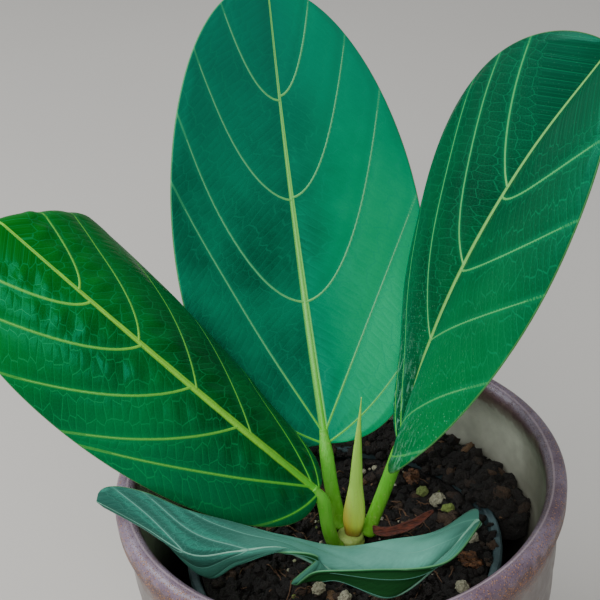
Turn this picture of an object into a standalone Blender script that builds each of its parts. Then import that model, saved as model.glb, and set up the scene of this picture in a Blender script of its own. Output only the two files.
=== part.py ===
"""Young banyan fig in a nursery pot, standing inside a glazed ceramic cover pot.

Metres, +Z up. The origin is the centre of the cover pot's flat underside and
-Y is the front. Each named object is one closed body.
"""
import math

import bmesh
import bpy
import numpy as np
from mathutils import Vector, noise
from mathutils.bvhtree import BVHTree

MM = 0.001
GAP = 0.3 * MM                    # clearance left between neighbouring pieces

# cover pot
POT_HEIGHT = 125 * MM
POT_RIM_RADIUS = 70 * MM          # widest point of the rim
POT_WALL = 4.8 * MM
POT_BASE_RADIUS = 59 * MM
POT_FLOOR = 6 * MM
RIM_THICK = 6.4 * MM

# nursery pot and soil
INNER_TOP = 95 * MM               # height of the nursery pot's rim
INNER_RADIUS = 50.5 * MM          # outside of its rim
INNER_BASE = 37 * MM
INNER_WALL = 1.2 * MM
DRAIN_HOLES = 6
DRAIN_RADIUS = 4 * MM
SOIL_TOP = 92.5 * MM
SOIL_LUMP = 2.6 * MM

# stem, bud and petioles
STEM_AT = (2 * MM, 0.5 * MM)
STEM_RADIUS = 4.8 * MM
STEM_TOP = 99 * MM
STEM_SUNK = 12 * MM
PETIOLE_RADIUS = 2.3 * MM
BUD_RADIUS = 3.0 * MM
BUD_TIP = (8.5, 0.5, 152)
LEAF_THICK = 0.8 * MM

def bowed(base, tip, bow):
    """Five midrib points in mm: a straight line pushed aside by bow at half-way."""
    base, tip, bow = (np.array(p, float) for p in (base, tip, bow))
    return [tuple(base + (tip - base) * t + bow * 4 * t * (1 - t)) for t in (0, 0.25, 0.5, 0.75, 1)]


# Blades: the midrib in mm (base, tip and sideways bow), full width in mm, roll about the
# midrib from base to tip in degrees, how far the two halves lift, how much they
# curl, and the two exponents that shape the oval outline.
BLADES = {
    "leaf_left": dict(
        mid=bowed((-6.5, -7.5, 123), (-98, 15.5, 220.5), (2, -9, 4)),
        width=68, roll=(-21, -11), lift=(-9, 1.5), curl=-51, oval=(1.27, 0.35), lobe=5,
        fold=((129, 0), (115.5, -29), 6, 165)),
    "leaf_centre": dict(
        mid=bowed((-3.5, 18, 121.5), (-12, 121, 238), (-1, 0, 0.5)),
        width=86, roll=(2, 28), lift=(7, 7), curl=2, oval=(0.9, 0.47), lobe=3.5),
    "leaf_right": dict(
        mid=bowed((19.5, 4.5, 128.5), (77, -12, 265), (-7, 1, 4)),
        width=86, roll=(11, 36), lift=(20, 17), curl=-34, oval=(0.89, 0.6), lobe=2.9),
}
# The low leaf is crumpled: its midrib and both edges are given point by point,
# and the near half is torn part of the way in, with the torn corner pulled out.
LOW_MIDRIB = [(41, -21, 119), (28, -34, 116), (12, -41, 108), (-2, -39, 117), (-17, -39, 129),
              (-31, -41, 131), (-44, -41, 131), (-58, -33, 136), (-71, -26, 141)]
LOW_NEAR = [(2, -7, 6), (2, -7, 6), (1, -3, 19), (0, -2, 10), (-1, -1, 0),
            (0, 1, -6), (3, 4, -13), (3, 7, -7), (3, 7, -7)]
LOW_FAR = [(3, 17, 1), (3, 17, 1), (4, 19, 9), (2, 12, 1), (0, 7, -1),
           (0, 9, 4), (0, 11, 10), (3, 8, 11), (3, 8, 11)]
LOW_ROLLED = [0, 5, 5, 3, 0, 0, 0, 0, 0]
LOW_OVAL = (0.92, 0.36)
LOW_TEAR = (0.385, 0.03, 0.8)     # where along the leaf, how wide, how deep
LOW_FLAP = (-13, 0, -4)           # shift of the torn corner in mm

# Petioles from the stem to the foot of each blade, in mm.
PETIOLES = {
    "petiole_left": [(-2.8, -4.4, 97.5), (-4.4, -6.8, 107), (-5.2, -7.6, 121)],
    "petiole_centre": [(-0.6, 6.8, 96.5), (-2.6, 11, 109), (-3.5, 16.3, 119.5)],
    "petiole_right": [(7.9, 3.0, 96.5), (13.6, 4.2, 111), (18.9, 4.7, 126.2)],
    "petiole_front": [(6.2, -7.8, 97.5), (17, -12, 99), (28, -13, 103), (36, -16, 110),
                      (39.5, -19.5, 115.5)],
}

# Loose pieces on the soil: name, x, y, longest radius in mm, squash, turn.
GRAINS = [
    ("perlite_01", 27.5, 23.8, 2.4, 0.75, 10), ("perlite_02", 32, 19, 2.0, 0.8, 60),
    ("perlite_03", 35, 13.5, 1.9, 0.7, 30), ("perlite_04", 41, -1, 1.6, 0.8, 0),
    ("perlite_05", 26, -13, 1.7, 0.7, 80), ("perlite_06", -1, -25, 2.0, 0.75, 45),
    ("perlite_07", -9, -20.5, 2.4, 0.7, 20), ("perlite_08", -30, 20, 2.2, 0.8, 75),
    ("perlite_09", -14, 36, 2.5, 0.7, 35), ("perlite_10", 35.5, -23.5, 1.9, 0.8, 50),
]
CHIPS = [
    ("bark_01", 24, 31, 4.2, 0.35, 20), ("bark_02", 17, -31, 3.8, 0.4, 70),
    ("bark_03", 39, -11, 3.4, 0.4, 110), ("bark_04", -26, -34, 4.4, 0.35, 150),
    ("bark_05", -38, 6, 4.6, 0.4, 95), ("bark_06", -6, 24, 4.0, 0.4, 40),
]

# Mix heaped over the nursery pot's rim at the back right and down into the gap: the
# angles in degrees where it starts and ends, and its cross-section in mm.
SPILL_START, SPILL_END = 4, 84
SPILL = [(46.2, 95.6), (48.5, 98.2), (52.5, 99.6), (57, 99.2), (60.4, 97), (61.3, 92),
         (60.9, 85.5), (56, 84), (51.6, 85.5), (51.3, 95.6)]
SPILL_EDGE = (51.3, 95.6)         # past the rim, and level with its top
SPILL_HEART = (56.3, 90)

COLOURS = {
    "glaze": ((0.55, 0.52, 0.49), 0.35), "black_plastic": ((0.05, 0.07, 0.09), 0.5),
    "soil": ((0.02, 0.014, 0.01), 0.95), "green_stem": ((0.16, 0.30, 0.04), 0.45),
    "leaf": ((0.01, 0.13, 0.04), 0.35), "bud": ((0.42, 0.50, 0.10), 0.5),
    "dry_scale": ((0.22, 0.06, 0.03), 0.7), "perlite": ((0.72, 0.70, 0.60), 0.9),
    "bark": ((0.13, 0.07, 0.035), 0.9),
}

for old in list(bpy.data.objects):
    bpy.data.objects.remove(old, do_unlink=True)

parts = bpy.data.collections.new("potted_banyan_fig")
cutters = bpy.data.collections.new("cutters")
bpy.context.scene.collection.children.link(parts)
bpy.context.scene.collection.children.link(cutters)


def material(name, slot):
    """A Principled material of its own for one node."""
    colour, rough = COLOURS[slot]
    mat = bpy.data.materials.new(name + "_" + slot)
    mat.use_nodes = True
    shader = mat.node_tree.nodes["Principled BSDF"]
    shader.inputs["Base Color"].default_value = (*colour, 1)
    shader.inputs["Roughness"].default_value = rough
    return mat


def add(name, mesh, slot, home=parts):
    obj = bpy.data.objects.new(name, mesh)
    home.objects.link(obj)
    if slot:
        mesh.materials.append(material(name, slot))
    return obj


def grid_mesh(name, points):
    """A quad sheet through rows of points, with coincident points merged."""
    rows, cols = points.shape[:2]
    at = lambda i, j: i * cols + j
    faces = []
    for i in range(rows - 1):
        for j in range(cols - 1):
            faces.append((at(i, j), at(i, j + 1), at(i + 1, j + 1), at(i + 1, j)))
    mesh = bpy.data.meshes.new(name)
    mesh.from_pydata([tuple(p) for p in points.reshape(-1, 3)], [], faces)
    work = bmesh.new()
    work.from_mesh(mesh)
    bmesh.ops.remove_doubles(work, verts=work.verts, dist=1e-5)
    bmesh.ops.recalc_face_normals(work, faces=work.faces)
    work.to_mesh(mesh)
    work.free()
    return mesh


def turned(name, profile, steps, slot):
    """A body of revolution: the profile runs down the outer side."""
    mesh = bpy.data.meshes.new(name)
    edges = [(i, i + 1) for i in range(len(profile) - 1)]
    mesh.from_pydata([(r, 0, z) for r, z in profile], edges, [])
    obj = add(name, mesh, slot)
    screw = obj.modifiers.new("turn", "SCREW")
    screw.axis = "Z"
    screw.steps = steps
    screw.render_steps = steps
    screw.use_merge_vertices = True
    screw.merge_threshold = 0.00001
    return obj


def applied(obj):
    """The object's evaluated shape baked into its mesh."""
    graph = bpy.context.evaluated_depsgraph_get()
    baked = bpy.data.meshes.new_from_object(obj.evaluated_get(graph))
    obj.modifiers.clear()
    obj.data = baked
    return obj


def arc(cx, cz, r, start, end, n):
    """Points on a circle in the profile plane, angles in degrees."""
    out = []
    for i in range(n + 1):
        a = math.radians(start + (end - start) * i / n)
        out.append((cx + r * math.cos(a), cz + r * math.sin(a)))
    return out


def through(points, u):
    """A smooth curve through control points, read at u from 0 to 1."""
    ctrl = np.asarray(points, float)
    last = len(ctrl) - 1
    ctrl = np.vstack([2 * ctrl[0] - ctrl[1], ctrl, 2 * ctrl[-1] - ctrl[-2]])
    x = np.clip(u, 0, 1) * last
    i = np.minimum(x.astype(int), last - 1)
    t = (x - i)[..., None]
    a, b, c, d = ctrl[i], ctrl[i + 1], ctrl[i + 2], ctrl[i + 3]
    return 0.5 * (2 * b + (c - a) * t + (2 * a - 5 * b + 4 * c - d) * t**2
                  + (3 * b - a - 3 * c + d) * t**3)


def oval(u, shape):
    """Half-width of the outline as a share of the widest, 0 at both ends."""
    p, q = shape
    s = u**p
    return np.clip(4 * s * (1 - s), 0, None)**q


def blade(spec, u, v):
    """Points of a blade: u runs base to tip, v edge to edge (-1 to 1)."""
    fine = np.linspace(0, 1, 161)
    line = through(spec["mid"], fine) * MM
    run = np.r_[0, np.cumsum(np.linalg.norm(np.diff(line, axis=0), axis=1))]
    length = run[-1]
    tangent = np.gradient(line, run, axis=0)
    tangent /= np.linalg.norm(tangent, axis=1)[:, None]
    side = np.cross([0, 0, 1.0], tangent)
    side /= np.linalg.norm(side, axis=1)[:, None]
    normal = np.cross(tangent, side)
    half = spec["width"] * MM / 2
    x = u * length
    y = half * oval(u, spec["oval"]) * v
    out = np.zeros_like(x)
    if "fold" in spec:
        (ax, ay), (bx, by), radius, most = spec["fold"]
        a = np.array([ax, ay]) * MM
        along = np.array([bx - ax, by - ay])
        along = along / np.linalg.norm(along)
        away = np.array([-along[1], along[0]])
        if away[0] < 0:
            away = -away
        far = (x - a[0]) * away[0] + (y - a[1]) * away[1]
        turn = np.clip(far / (radius * MM), 0, math.radians(most))
        rest = np.clip(far - radius * MM * math.radians(most), 0, None)
        shift = radius * MM * np.sin(turn) + rest * np.cos(turn) - far
        drop = radius * MM * (1 - np.cos(turn)) + rest * np.sin(turn)
        x = x + np.where(far > 0, shift, 0) * away[0]
        y = y + np.where(far > 0, shift, 0) * away[1]
        out = np.where(far > 0, -drop, 0)
    at = np.clip(x / length, 0, 1)

    def read(table):
        return np.stack([np.interp(at * length, run, table[:, k]) for k in range(3)], -1)

    t, s, n = read(tangent), read(side), read(normal)
    roll = np.radians(spec["roll"][0] + (spec["roll"][1] - spec["roll"][0]) * at)[..., None]
    s, n = s * np.cos(roll) + n * np.sin(roll), n * np.cos(roll) - s * np.sin(roll)
    lift = np.radians(np.where(y > 0, spec["lift"][0], spec["lift"][1]))
    bend = lift + math.radians(spec["curl"]) * np.abs(y) / half / 2
    wide = y * np.cos(bend)
    high = np.abs(y) * np.sin(bend)
    face = n * np.cos(bend)[..., None] - s * (np.sin(bend) * np.sign(y))[..., None]
    lobe = spec["lobe"] * MM * np.abs(v)**1.5 * (1 - u)**4 * 1.3 * oval(u, spec["oval"])
    past = np.clip(x - length, 0, None) - lobe
    return (read(line) + s * wide[..., None] + n * high[..., None]
            + t * past[..., None] + face * out[..., None])


def smooth(t):
    t = np.clip(t, 0, 1)
    return t * t * (3 - 2 * t)


def low_blade(u, v):
    """Points of the crumpled low leaf."""
    mid = through(LOW_MIDRIB, u) * MM
    near = through(LOW_NEAR, u) * MM
    far = through(LOW_FAR, u) * MM
    rolled = through(np.array(LOW_ROLLED, float)[:, None], u) * MM
    share = oval(u, LOW_OVAL)
    at, wide, deep = LOW_TEAR
    torn = share * (1 - deep * np.exp(-((u - at) / wide)**2))
    w = np.abs(v)[..., None]
    front = mid + near * torn[..., None] * w
    back = mid + far * share[..., None] * w
    back = back + np.array([0, -0.5, 0.85]) * rolled * 4 * w * (1 - w) * share[..., None]
    out = np.where((v > 0)[..., None], front, back)
    soft = (near * torn[..., None] + far * share[..., None]) / 2
    out = out + soft * np.clip(1 - w / 0.25, 0, None)**2 * 0.125
    pull = np.abs(v)**1.3 * smooth((u - 0.12) / (at - 0.12)) * (1 - smooth((u - at) / 0.035))
    return out + np.array(LOW_FLAP) * MM * np.where(v > 0, pull, 0)[..., None]


def leaf_grid(rows, half_cols):
    """Sample places, closer together near the two ends of the leaf."""
    t = np.linspace(0, 1, rows + 1)
    u = 0.5 * t + 0.5 * (1 - np.cos(math.pi * t)) / 2
    v = np.linspace(-1, 1, 2 * half_cols + 1)
    return np.meshgrid(u, v, indexing="ij")


def sheet(name, points, thick, slot):
    """A thin solid skin grown from a sheet of points."""
    obj = add(name, grid_mesh(name, points), slot)
    skin = obj.modifiers.new("thickness", "SOLIDIFY")
    skin.thickness = thick
    skin.offset = 0
    skin.use_even_offset = False
    return applied(obj)


def rod(name, points, radii, slot, sides=2):
    """A round rod along points in mm, with a radius at each."""
    curve = bpy.data.curves.new(name, "CURVE")
    curve.dimensions = "3D"
    curve.bevel_depth = 1.0
    curve.bevel_resolution = sides
    curve.resolution_u = 6
    curve.use_fill_caps = True
    spline = curve.splines.new("BEZIER")
    spline.bezier_points.add(len(points) - 1)
    for knot, place, radius in zip(spline.bezier_points, points, radii):
        knot.co = Vector(place) * MM
        knot.handle_left_type = "AUTO"
        knot.handle_right_type = "AUTO"
        knot.radius = radius
    obj = bpy.data.objects.new(name, curve)
    cutters.objects.link(obj)
    graph = bpy.context.evaluated_depsgraph_get()
    mesh = bpy.data.meshes.new_from_object(obj.evaluated_get(graph))
    bpy.data.objects.remove(obj, do_unlink=True)
    work = bmesh.new()
    work.from_mesh(mesh)
    bmesh.ops.remove_doubles(work, verts=work.verts, dist=1e-6)
    bmesh.ops.recalc_face_normals(work, faces=work.faces)
    work.to_mesh(mesh)
    work.free()
    mesh.materials.clear()
    return add(name, mesh, slot)


def cylinder(name, radius, depth, at, slot, home, sides=32):
    mesh = bpy.data.meshes.new(name)
    work = bmesh.new()
    bmesh.ops.create_cone(work, cap_ends=True, segments=sides, radius1=radius, radius2=radius,
                          depth=depth)
    work.to_mesh(mesh)
    work.free()
    obj = add(name, mesh, slot, home)
    obj.location = at
    if home is cutters:
        obj.hide_render = True
        obj.display_type = "WIRE"
    return obj


def cut(obj, cutter):
    mod = obj.modifiers.new("cut", "BOOLEAN")
    mod.operation = "DIFFERENCE"
    mod.solver = "EXACT"
    mod.object = cutter
    bpy.context.view_layer.update()
    return applied(obj)


# --- pots -----------------------------------------------------------------
rim_r = RIM_THICK / 2
rim_x = POT_RIM_RADIUS - rim_r
rim_z = POT_HEIGHT - rim_r
inner_foot = POT_BASE_RADIUS - POT_WALL
profile = [(0, POT_FLOOR), (inner_foot - 6 * MM, POT_FLOOR)]
profile += arc(inner_foot - 6 * MM, POT_FLOOR + 6 * MM, 6 * MM, -90, 0, 4)[1:]
profile += [(rim_x - 2.4 * MM, rim_z - 8 * MM)]
profile += arc(rim_x, rim_z, rim_r, 180, 0, 10)
profile += arc(rim_x + 0.2 * MM, rim_z - 3.5 * MM, rim_r - 0.3 * MM, 0, -50, 4)
profile += [(POT_RIM_RADIUS - 2.2 * MM, rim_z - 12 * MM)]
profile += [(POT_BASE_RADIUS + 1.5 * MM, 12 * MM)]
profile += arc(POT_BASE_RADIUS - 3 * MM, 3 * MM, 3 * MM, 0, -90, 4)
profile += [(0, 0)]
turned("ceramic_pot", profile, 64, "glaze")

base = POT_FLOOR + GAP
lip = 1.6 * MM
slope = (INNER_RADIUS - lip - INNER_BASE) / (INNER_TOP - base)
profile = [(0, base + INNER_WALL), (INNER_BASE - INNER_WALL, base + INNER_WALL),
           (INNER_RADIUS - lip - INNER_WALL, INNER_TOP - 0.6 * MM),
           (INNER_RADIUS - lip - 0.6 * MM, INNER_TOP), (INNER_RADIUS - 0.6 * MM, INNER_TOP),
           (INNER_RADIUS, INNER_TOP - 0.6 * MM), (INNER_RADIUS, INNER_TOP - 5 * MM),
           (INNER_RADIUS - lip - slope * 5 * MM, INNER_TOP - 5.4 * MM),
           (INNER_BASE, base + 1 * MM), (INNER_BASE - 1 * MM, base), (0, base)]
nursery = applied(turned("nursery_pot", profile, 48, "black_plastic"))
for k in range(DRAIN_HOLES):
    a = 2 * math.pi * k / DRAIN_HOLES
    spot = (0.024 * math.cos(a), 0.024 * math.sin(a), base)
    nursery = cut(nursery, cylinder("drain_%d" % k, DRAIN_RADIUS, 0.01, spot, None, cutters, 16))

# --- soil, with a socket for the stem ---------------------------------------
soil_floor = base + INNER_WALL + GAP
soil_foot = INNER_BASE - INNER_WALL - 2 * GAP
soil_rim = soil_foot + (SOIL_TOP - soil_floor) * slope - GAP
profile = [(0, SOIL_TOP)]
profile += [(soil_rim * i / 14, SOIL_TOP) for i in range(1, 15)]
profile += [(soil_foot + (soil_rim - soil_foot) * i / 4, soil_floor
             + (SOIL_TOP - soil_floor) * i / 4) for i in (3, 2, 1, 0)]
profile += [(0, soil_floor)]
soil = applied(turned("soil", profile, 48, "soil"))
for vert in soil.data.vertices:
    if vert.co.z > SOIL_TOP - 1e-4:
        reach = math.hypot(vert.co.x, vert.co.y) / soil_rim
        lump = noise.fractal(vert.co * 95, 0.9, 2.1, 4) + 0.5 * noise.noise(vert.co * 330)
        vert.co.z += SOIL_LUMP * lump * (1 - reach**6)
stem_foot = SOIL_TOP - STEM_SUNK
socket = cylinder("stem_socket", STEM_RADIUS + GAP, 0.03, (*STEM_AT, stem_foot - GAP + 0.015),
                  None, cutters)
soil = cut(soil, socket)

# --- mix heaped over the rim --------------------------------------------------
rows = []
for k in range(45):
    share = k / 44
    angle = math.radians(SPILL_START + (SPILL_END - SPILL_START) * share)
    edge = min(share, 1 - share)
    heap = max(0, min(1, (edge - 0.05) / 0.2))**0.7
    whole = min(1, edge / 0.05)**0.5
    row = []
    for r, z in SPILL + SPILL[:1]:
        r = SPILL_EDGE[0] - (SPILL_EDGE[0] - r) * heap if r < SPILL_EDGE[0] else r
        if z > SPILL_EDGE[1]:
            spot = Vector((r * math.cos(angle), r * math.sin(angle), z)) * MM
            lump = 1.3 * noise.noise(spot * 260) + 0.6 * noise.noise(spot * 600)
            z = SPILL_EDGE[1] + max(0, z - SPILL_EDGE[1] + lump) * heap
        r = SPILL_HEART[0] + (r - SPILL_HEART[0]) * whole
        z = SPILL_HEART[1] + (z - SPILL_HEART[1]) * whole
        row.append((r * math.cos(angle) * MM, r * math.sin(angle) * MM, z * MM))
    rows.append(row)
add("spilled_mix", grid_mesh("spilled_mix", np.array(rows)), "soil")

# --- stem, bud and petioles -------------------------------------------------
sx, sy = STEM_AT
stem_mid = (stem_foot + STEM_TOP) / 2
rod("stem", [(sx / MM, sy / MM, z / MM) for z in (stem_foot, stem_foot + 0.008, STEM_TOP - 0.004,
                                                  STEM_TOP)],
    [STEM_RADIUS * k for k in (0.9, 0.96, 0.98, 0.8)], "green_stem", 3)
bud_foot = STEM_TOP / MM + 0.4
rod("stipule_bud", [(3.2, 0.5, bud_foot), (4.4, 0.5, bud_foot + 12), (6.4, 0.5, bud_foot + 34),
                    BUD_TIP],
    [BUD_RADIUS * k for k in (0.8, 1.0, 0.55, 0.1)], "bud", 3)
for name, points in PETIOLES.items():
    ends = [0.92] + [1.0] * (len(points) - 2) + [0.9]
    rod(name, points, [PETIOLE_RADIUS * k for k in ends], "green_stem")

# --- blades -----------------------------------------------------------------
for name, spec in BLADES.items():
    sheet(name, blade(spec, *leaf_grid(30, 6)), LEAF_THICK, "leaf")
sheet("leaf_front", low_blade(*leaf_grid(48, 7)), LEAF_THICK, "leaf")

# --- dry stipule scales -----------------------------------------------------
t, w = np.meshgrid(np.linspace(0, 1, 13), np.linspace(-1, 1, 5), indexing="ij")
line = through([(9.6, -4, 102), (15, -5, 102), (22, -3.5, 103), (29, -1, 106)], t) * MM
across = np.stack([-0.35 + 0 * t, 0.75 + 0 * t, 0.55 + 0 * t], -1) * MM
cupped = np.stack([0 * t, 0 * t, 1.2 * w**2], -1) * MM
sheet("scale_curled", line + across * (w * (1.7 - 1.1 * t**2))[..., None] + cupped, 0.5 * MM,
      "dry_scale")
ring = np.radians(168 + 26 * w)
reach = (6.6 + 1.0 * t) * MM
shell = np.stack([sx + reach * np.cos(ring), sy + reach * np.sin(ring),
                  97.8 * MM + (12 - 5 * w**2) * MM * t], -1)
sheet("scale_back", shell, 0.5 * MM, "dry_scale")

# --- loose pieces resting on the soil ----------------------------------------
graph = bpy.context.evaluated_depsgraph_get()
ground = BVHTree.FromObject(soil, graph)


def rest(name, x, y, size, squash, turn, slot, rough):
    """A rounded lump set down on the highest soil under it."""
    mesh = bpy.data.meshes.new(name)
    work = bmesh.new()
    bmesh.ops.create_icosphere(work, subdivisions=2, radius=size * MM)
    a = math.radians(turn)
    for vert in work.verts:
        grow = 1 + rough * noise.noise(vert.co * (900 / size) + Vector((x, y, 0)))
        px, py, pz = vert.co * grow
        px *= 1.0
        py *= 0.45 + 0.5 * squash
        pz *= squash
        vert.co = (px * math.cos(a) - py * math.sin(a), px * math.sin(a) + py * math.cos(a), pz)
    low = min(vert.co.z for vert in work.verts)
    top = 0
    for dx in np.linspace(-size, size, 7):
        for dy in np.linspace(-size, size, 7):
            hit = ground.ray_cast(Vector(((x + dx) * MM, (y + dy) * MM, 0.2)), Vector((0, 0, -1)))
            if hit[0] and math.hypot(dx, dy) < size * 0.8:
                top = max(top, hit[0].z)
    work.to_mesh(mesh)
    work.free()
    add(name, mesh, slot).location = (x * MM, y * MM, top + GAP - low)


for grain in GRAINS:
    rest(*grain, "perlite", 0.5)
for chip in CHIPS:
    rest(*chip, "bark", 0.6)

for obj in parts.objects:
    for face in obj.data.polygons:
        face.use_smooth = True
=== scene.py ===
# %% [markdown]
# # A young banyan fig in a glazed cover pot
# The plant is one short stem with four broad leaves, a pointed bud and a few dry scales. It stands
# in a thin plastic nursery pot of dark potting mix, and that pot sits in a thick glazed ceramic
# one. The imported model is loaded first, because every piece below is made in its frame, in metres.

# %% Load the frame
import math

import bmesh
import bpy
import numpy as np
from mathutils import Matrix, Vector, noise


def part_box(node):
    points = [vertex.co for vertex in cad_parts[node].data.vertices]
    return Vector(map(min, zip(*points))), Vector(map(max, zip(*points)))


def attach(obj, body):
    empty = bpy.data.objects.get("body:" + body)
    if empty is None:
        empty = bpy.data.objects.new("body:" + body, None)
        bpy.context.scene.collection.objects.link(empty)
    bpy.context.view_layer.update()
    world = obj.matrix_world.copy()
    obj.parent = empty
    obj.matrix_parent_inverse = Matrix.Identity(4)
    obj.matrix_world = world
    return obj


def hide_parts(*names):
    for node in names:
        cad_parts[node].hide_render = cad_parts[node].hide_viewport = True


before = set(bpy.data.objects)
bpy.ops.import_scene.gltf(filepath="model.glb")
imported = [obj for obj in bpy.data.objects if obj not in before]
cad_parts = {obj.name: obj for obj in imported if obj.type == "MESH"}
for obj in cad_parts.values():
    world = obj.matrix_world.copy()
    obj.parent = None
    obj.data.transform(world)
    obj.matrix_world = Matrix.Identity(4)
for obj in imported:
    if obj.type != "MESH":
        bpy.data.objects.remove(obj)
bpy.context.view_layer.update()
MM = 0.001

# %% [markdown]
# ## Helpers for meshes
# A leaf, a turned pot and a rod are all grids of points whose rows or columns close on
# themselves. One helper that turns rows of points into a closed skin serves them all. It merges
# rows that shrink to a point and then turns every face outwards.

# %% Grid to mesh
def skin(name, points, wrap=False, attributes=None):
    """A mesh from rows of points, where a row of equal points becomes one pole."""
    rows, cols = points.shape[:2]
    index = np.arange(rows * cols).reshape(rows, cols)
    for i in (0, rows - 1):
        if np.ptp(points[i], axis=0).max() < 1e-7:
            index[i] = index[i, 0]
    faces = []
    for i in range(rows - 1):
        for j in range(cols if wrap else cols - 1):
            k = (j + 1) % cols
            ring = [index[i, j], index[i, k], index[i + 1, k], index[i + 1, j]]
            ring = [int(a) for n, a in enumerate(ring) if a != ring[n - 1]]
            if len(ring) > 2:
                faces.append(ring)
    return tidy_mesh(name, points.reshape(-1, 3), faces, attributes)


def tidy_mesh(name, points, faces, attributes=None):
    """A smooth mesh with stray points removed and its faces turned outwards."""
    mesh = bpy.data.meshes.new(name)
    mesh.from_pydata([tuple(p) for p in points], [], faces)
    for label, values in (attributes or {}).items():
        kind = "FLOAT_VECTOR" if np.ndim(values[0]) else "FLOAT"
        layer = mesh.attributes.new(label, kind, "POINT")
        field = "vector" if kind == "FLOAT_VECTOR" else "value"
        layer.data.foreach_set(field, np.asarray(values, np.float32).ravel())
    work = bmesh.new()
    work.from_mesh(mesh)
    bmesh.ops.delete(work, geom=[v for v in work.verts if not v.link_faces], context="VERTS")
    bmesh.ops.recalc_face_normals(work, faces=work.faces)
    work.to_mesh(mesh)
    work.free()
    mesh.polygons.foreach_set("use_smooth", [True] * len(mesh.polygons))
    return mesh


def settle(name, mesh, material, nodes=()):
    """A finished piece: it rides with the plant and stands for its CAD nodes."""
    piece = mesh if isinstance(mesh, bpy.types.Object) else bpy.data.objects.new(name, mesh)
    if piece.name not in bpy.context.scene.collection.objects:
        bpy.context.scene.collection.objects.link(piece)
    if material:
        piece.data.materials.clear()
        piece.data.materials.append(material)
    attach(piece, "root")
    if nodes:
        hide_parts(*nodes)
    print(name, len(piece.data.polygons), "faces")
    return piece


# %% [markdown]
# Smooth curves through a few points give every path on the plant: midribs, petioles, the bud.
# The curve bends the way a bent wire would, and passes through each point.

# %% Curves through points
def through(points, u):
    """A smooth curve through control points, read at u from 0 to 1."""
    ctrl = np.asarray(points, float)
    last = len(ctrl) - 1
    ctrl = np.vstack([2 * ctrl[0] - ctrl[1], ctrl, 2 * ctrl[-1] - ctrl[-2]])
    x = np.clip(u, 0, 1) * last
    i = np.minimum(x.astype(int), last - 1)
    t = (x - i)[..., None]
    a, b, c, d = ctrl[i], ctrl[i + 1], ctrl[i + 2], ctrl[i + 3]
    return 0.5 * (2 * b + (c - a) * t + (2 * a - 5 * b + 4 * c - d) * t**2
                  + (3 * b - a - 3 * c + d) * t**3)


def smooth(t):
    t = np.clip(t, 0, 1)
    return t * t * (3 - 2 * t)


def loft(name, points, radius, rings=60, sides=28, attributes=False):
    """A closed rod along points in mm; radius(t, angle) gives its size in mm."""
    t = np.linspace(0, 1, rings)
    line = through(points, t) * MM
    step = np.gradient(line, axis=0)
    step /= np.linalg.norm(step, axis=1)[:, None]
    side = np.cross(step[0], [0.0, 1.0, 0.0] if abs(step[0][1]) < 0.8 else [1.0, 0.0, 0.0])
    angle = np.linspace(0, 2 * math.pi, sides, endpoint=False)
    rows = []
    for place, along, at in zip(line, step, t):
        side = side - along * np.dot(side, along)
        side /= np.linalg.norm(side)
        other = np.cross(along, side)
        reach = np.array([radius(at, a) for a in angle])[:, None] * MM
        rows.append(place + reach * (side * np.cos(angle)[:, None]
                                     + other * np.sin(angle)[:, None]))
    ends = [np.repeat(line[:1], sides, 0), np.repeat(line[-1:], sides, 0)]
    rows = np.stack([ends[0]] + rows + [ends[1]])
    share = np.repeat(np.r_[0, t, 1], sides)
    return skin(name, rows, wrap=True, attributes={"along": share} if attributes else None)


# %% [markdown]
# ## Helpers for node trees
# Geometry trees and shader trees are wired the same way, so one short call places a node, sets
# what it is, and feeds its inputs from numbers or from other nodes.

# %% Placing nodes
def feed_inputs(tree, node, feeds):
    """Inputs by name or number, each from a value or another node's socket."""
    for key, value in feeds.items():
        if isinstance(value, bpy.types.NodeSocket):
            tree.links.new(value, node.inputs[key])
        else:
            node.inputs[key].default_value = value


def put(tree, kind, feeds=None, **settings):
    """A node in a tree, with its settings and inputs."""
    node = tree.nodes.new(kind)
    for key, value in settings.items():
        setattr(node, key, value)
    feed_inputs(tree, node, feeds or {})
    return node


def math_node(tree, operation, *values):
    return put(tree, "ShaderNodeMath", dict(enumerate(values)), operation=operation).outputs[0]


def times(tree, value, by):
    return math_node(tree, "MULTIPLY", value, by)


def between(tree, value, low, high, start=0.0, end=1.0):
    """A soft step: start below low, end above high."""
    node = put(tree, "ShaderNodeMapRange", {0: value, 1: low, 2: high, 3: start, 4: end},
               interpolation_type="SMOOTHSTEP")
    return node.outputs[0]


def zone(tree, value, span, start=0.0, end=1.0):
    """A soft step over a span given in mm."""
    return between(tree, value, span[0] * MM, span[1] * MM, start, end)


def layer(tree, factor, under, over):
    """One colour over another, as far as the factor says."""
    node = put(tree, "ShaderNodeMix", {0: factor, 6: under, 7: over}, data_type="RGBA")
    return node.outputs[2]


def tone(red, green, blue):
    """A display colour, 0 to 255, as the linear colour that shaders use."""
    curve = lambda c: c / 12.92 if c <= 0.04045 else ((c + 0.055) / 1.055) ** 2.4
    return (curve(red / 255), curve(green / 255), curve(blue / 255), 1.0)


# %% [markdown]
# ## Stage, light and camera
# The pot stands on a plain pale floor under a broad soft lamp, as by a large window, with a weak
# second lamp so the shaded side keeps its shape. The camera looks down into the pot.

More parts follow.
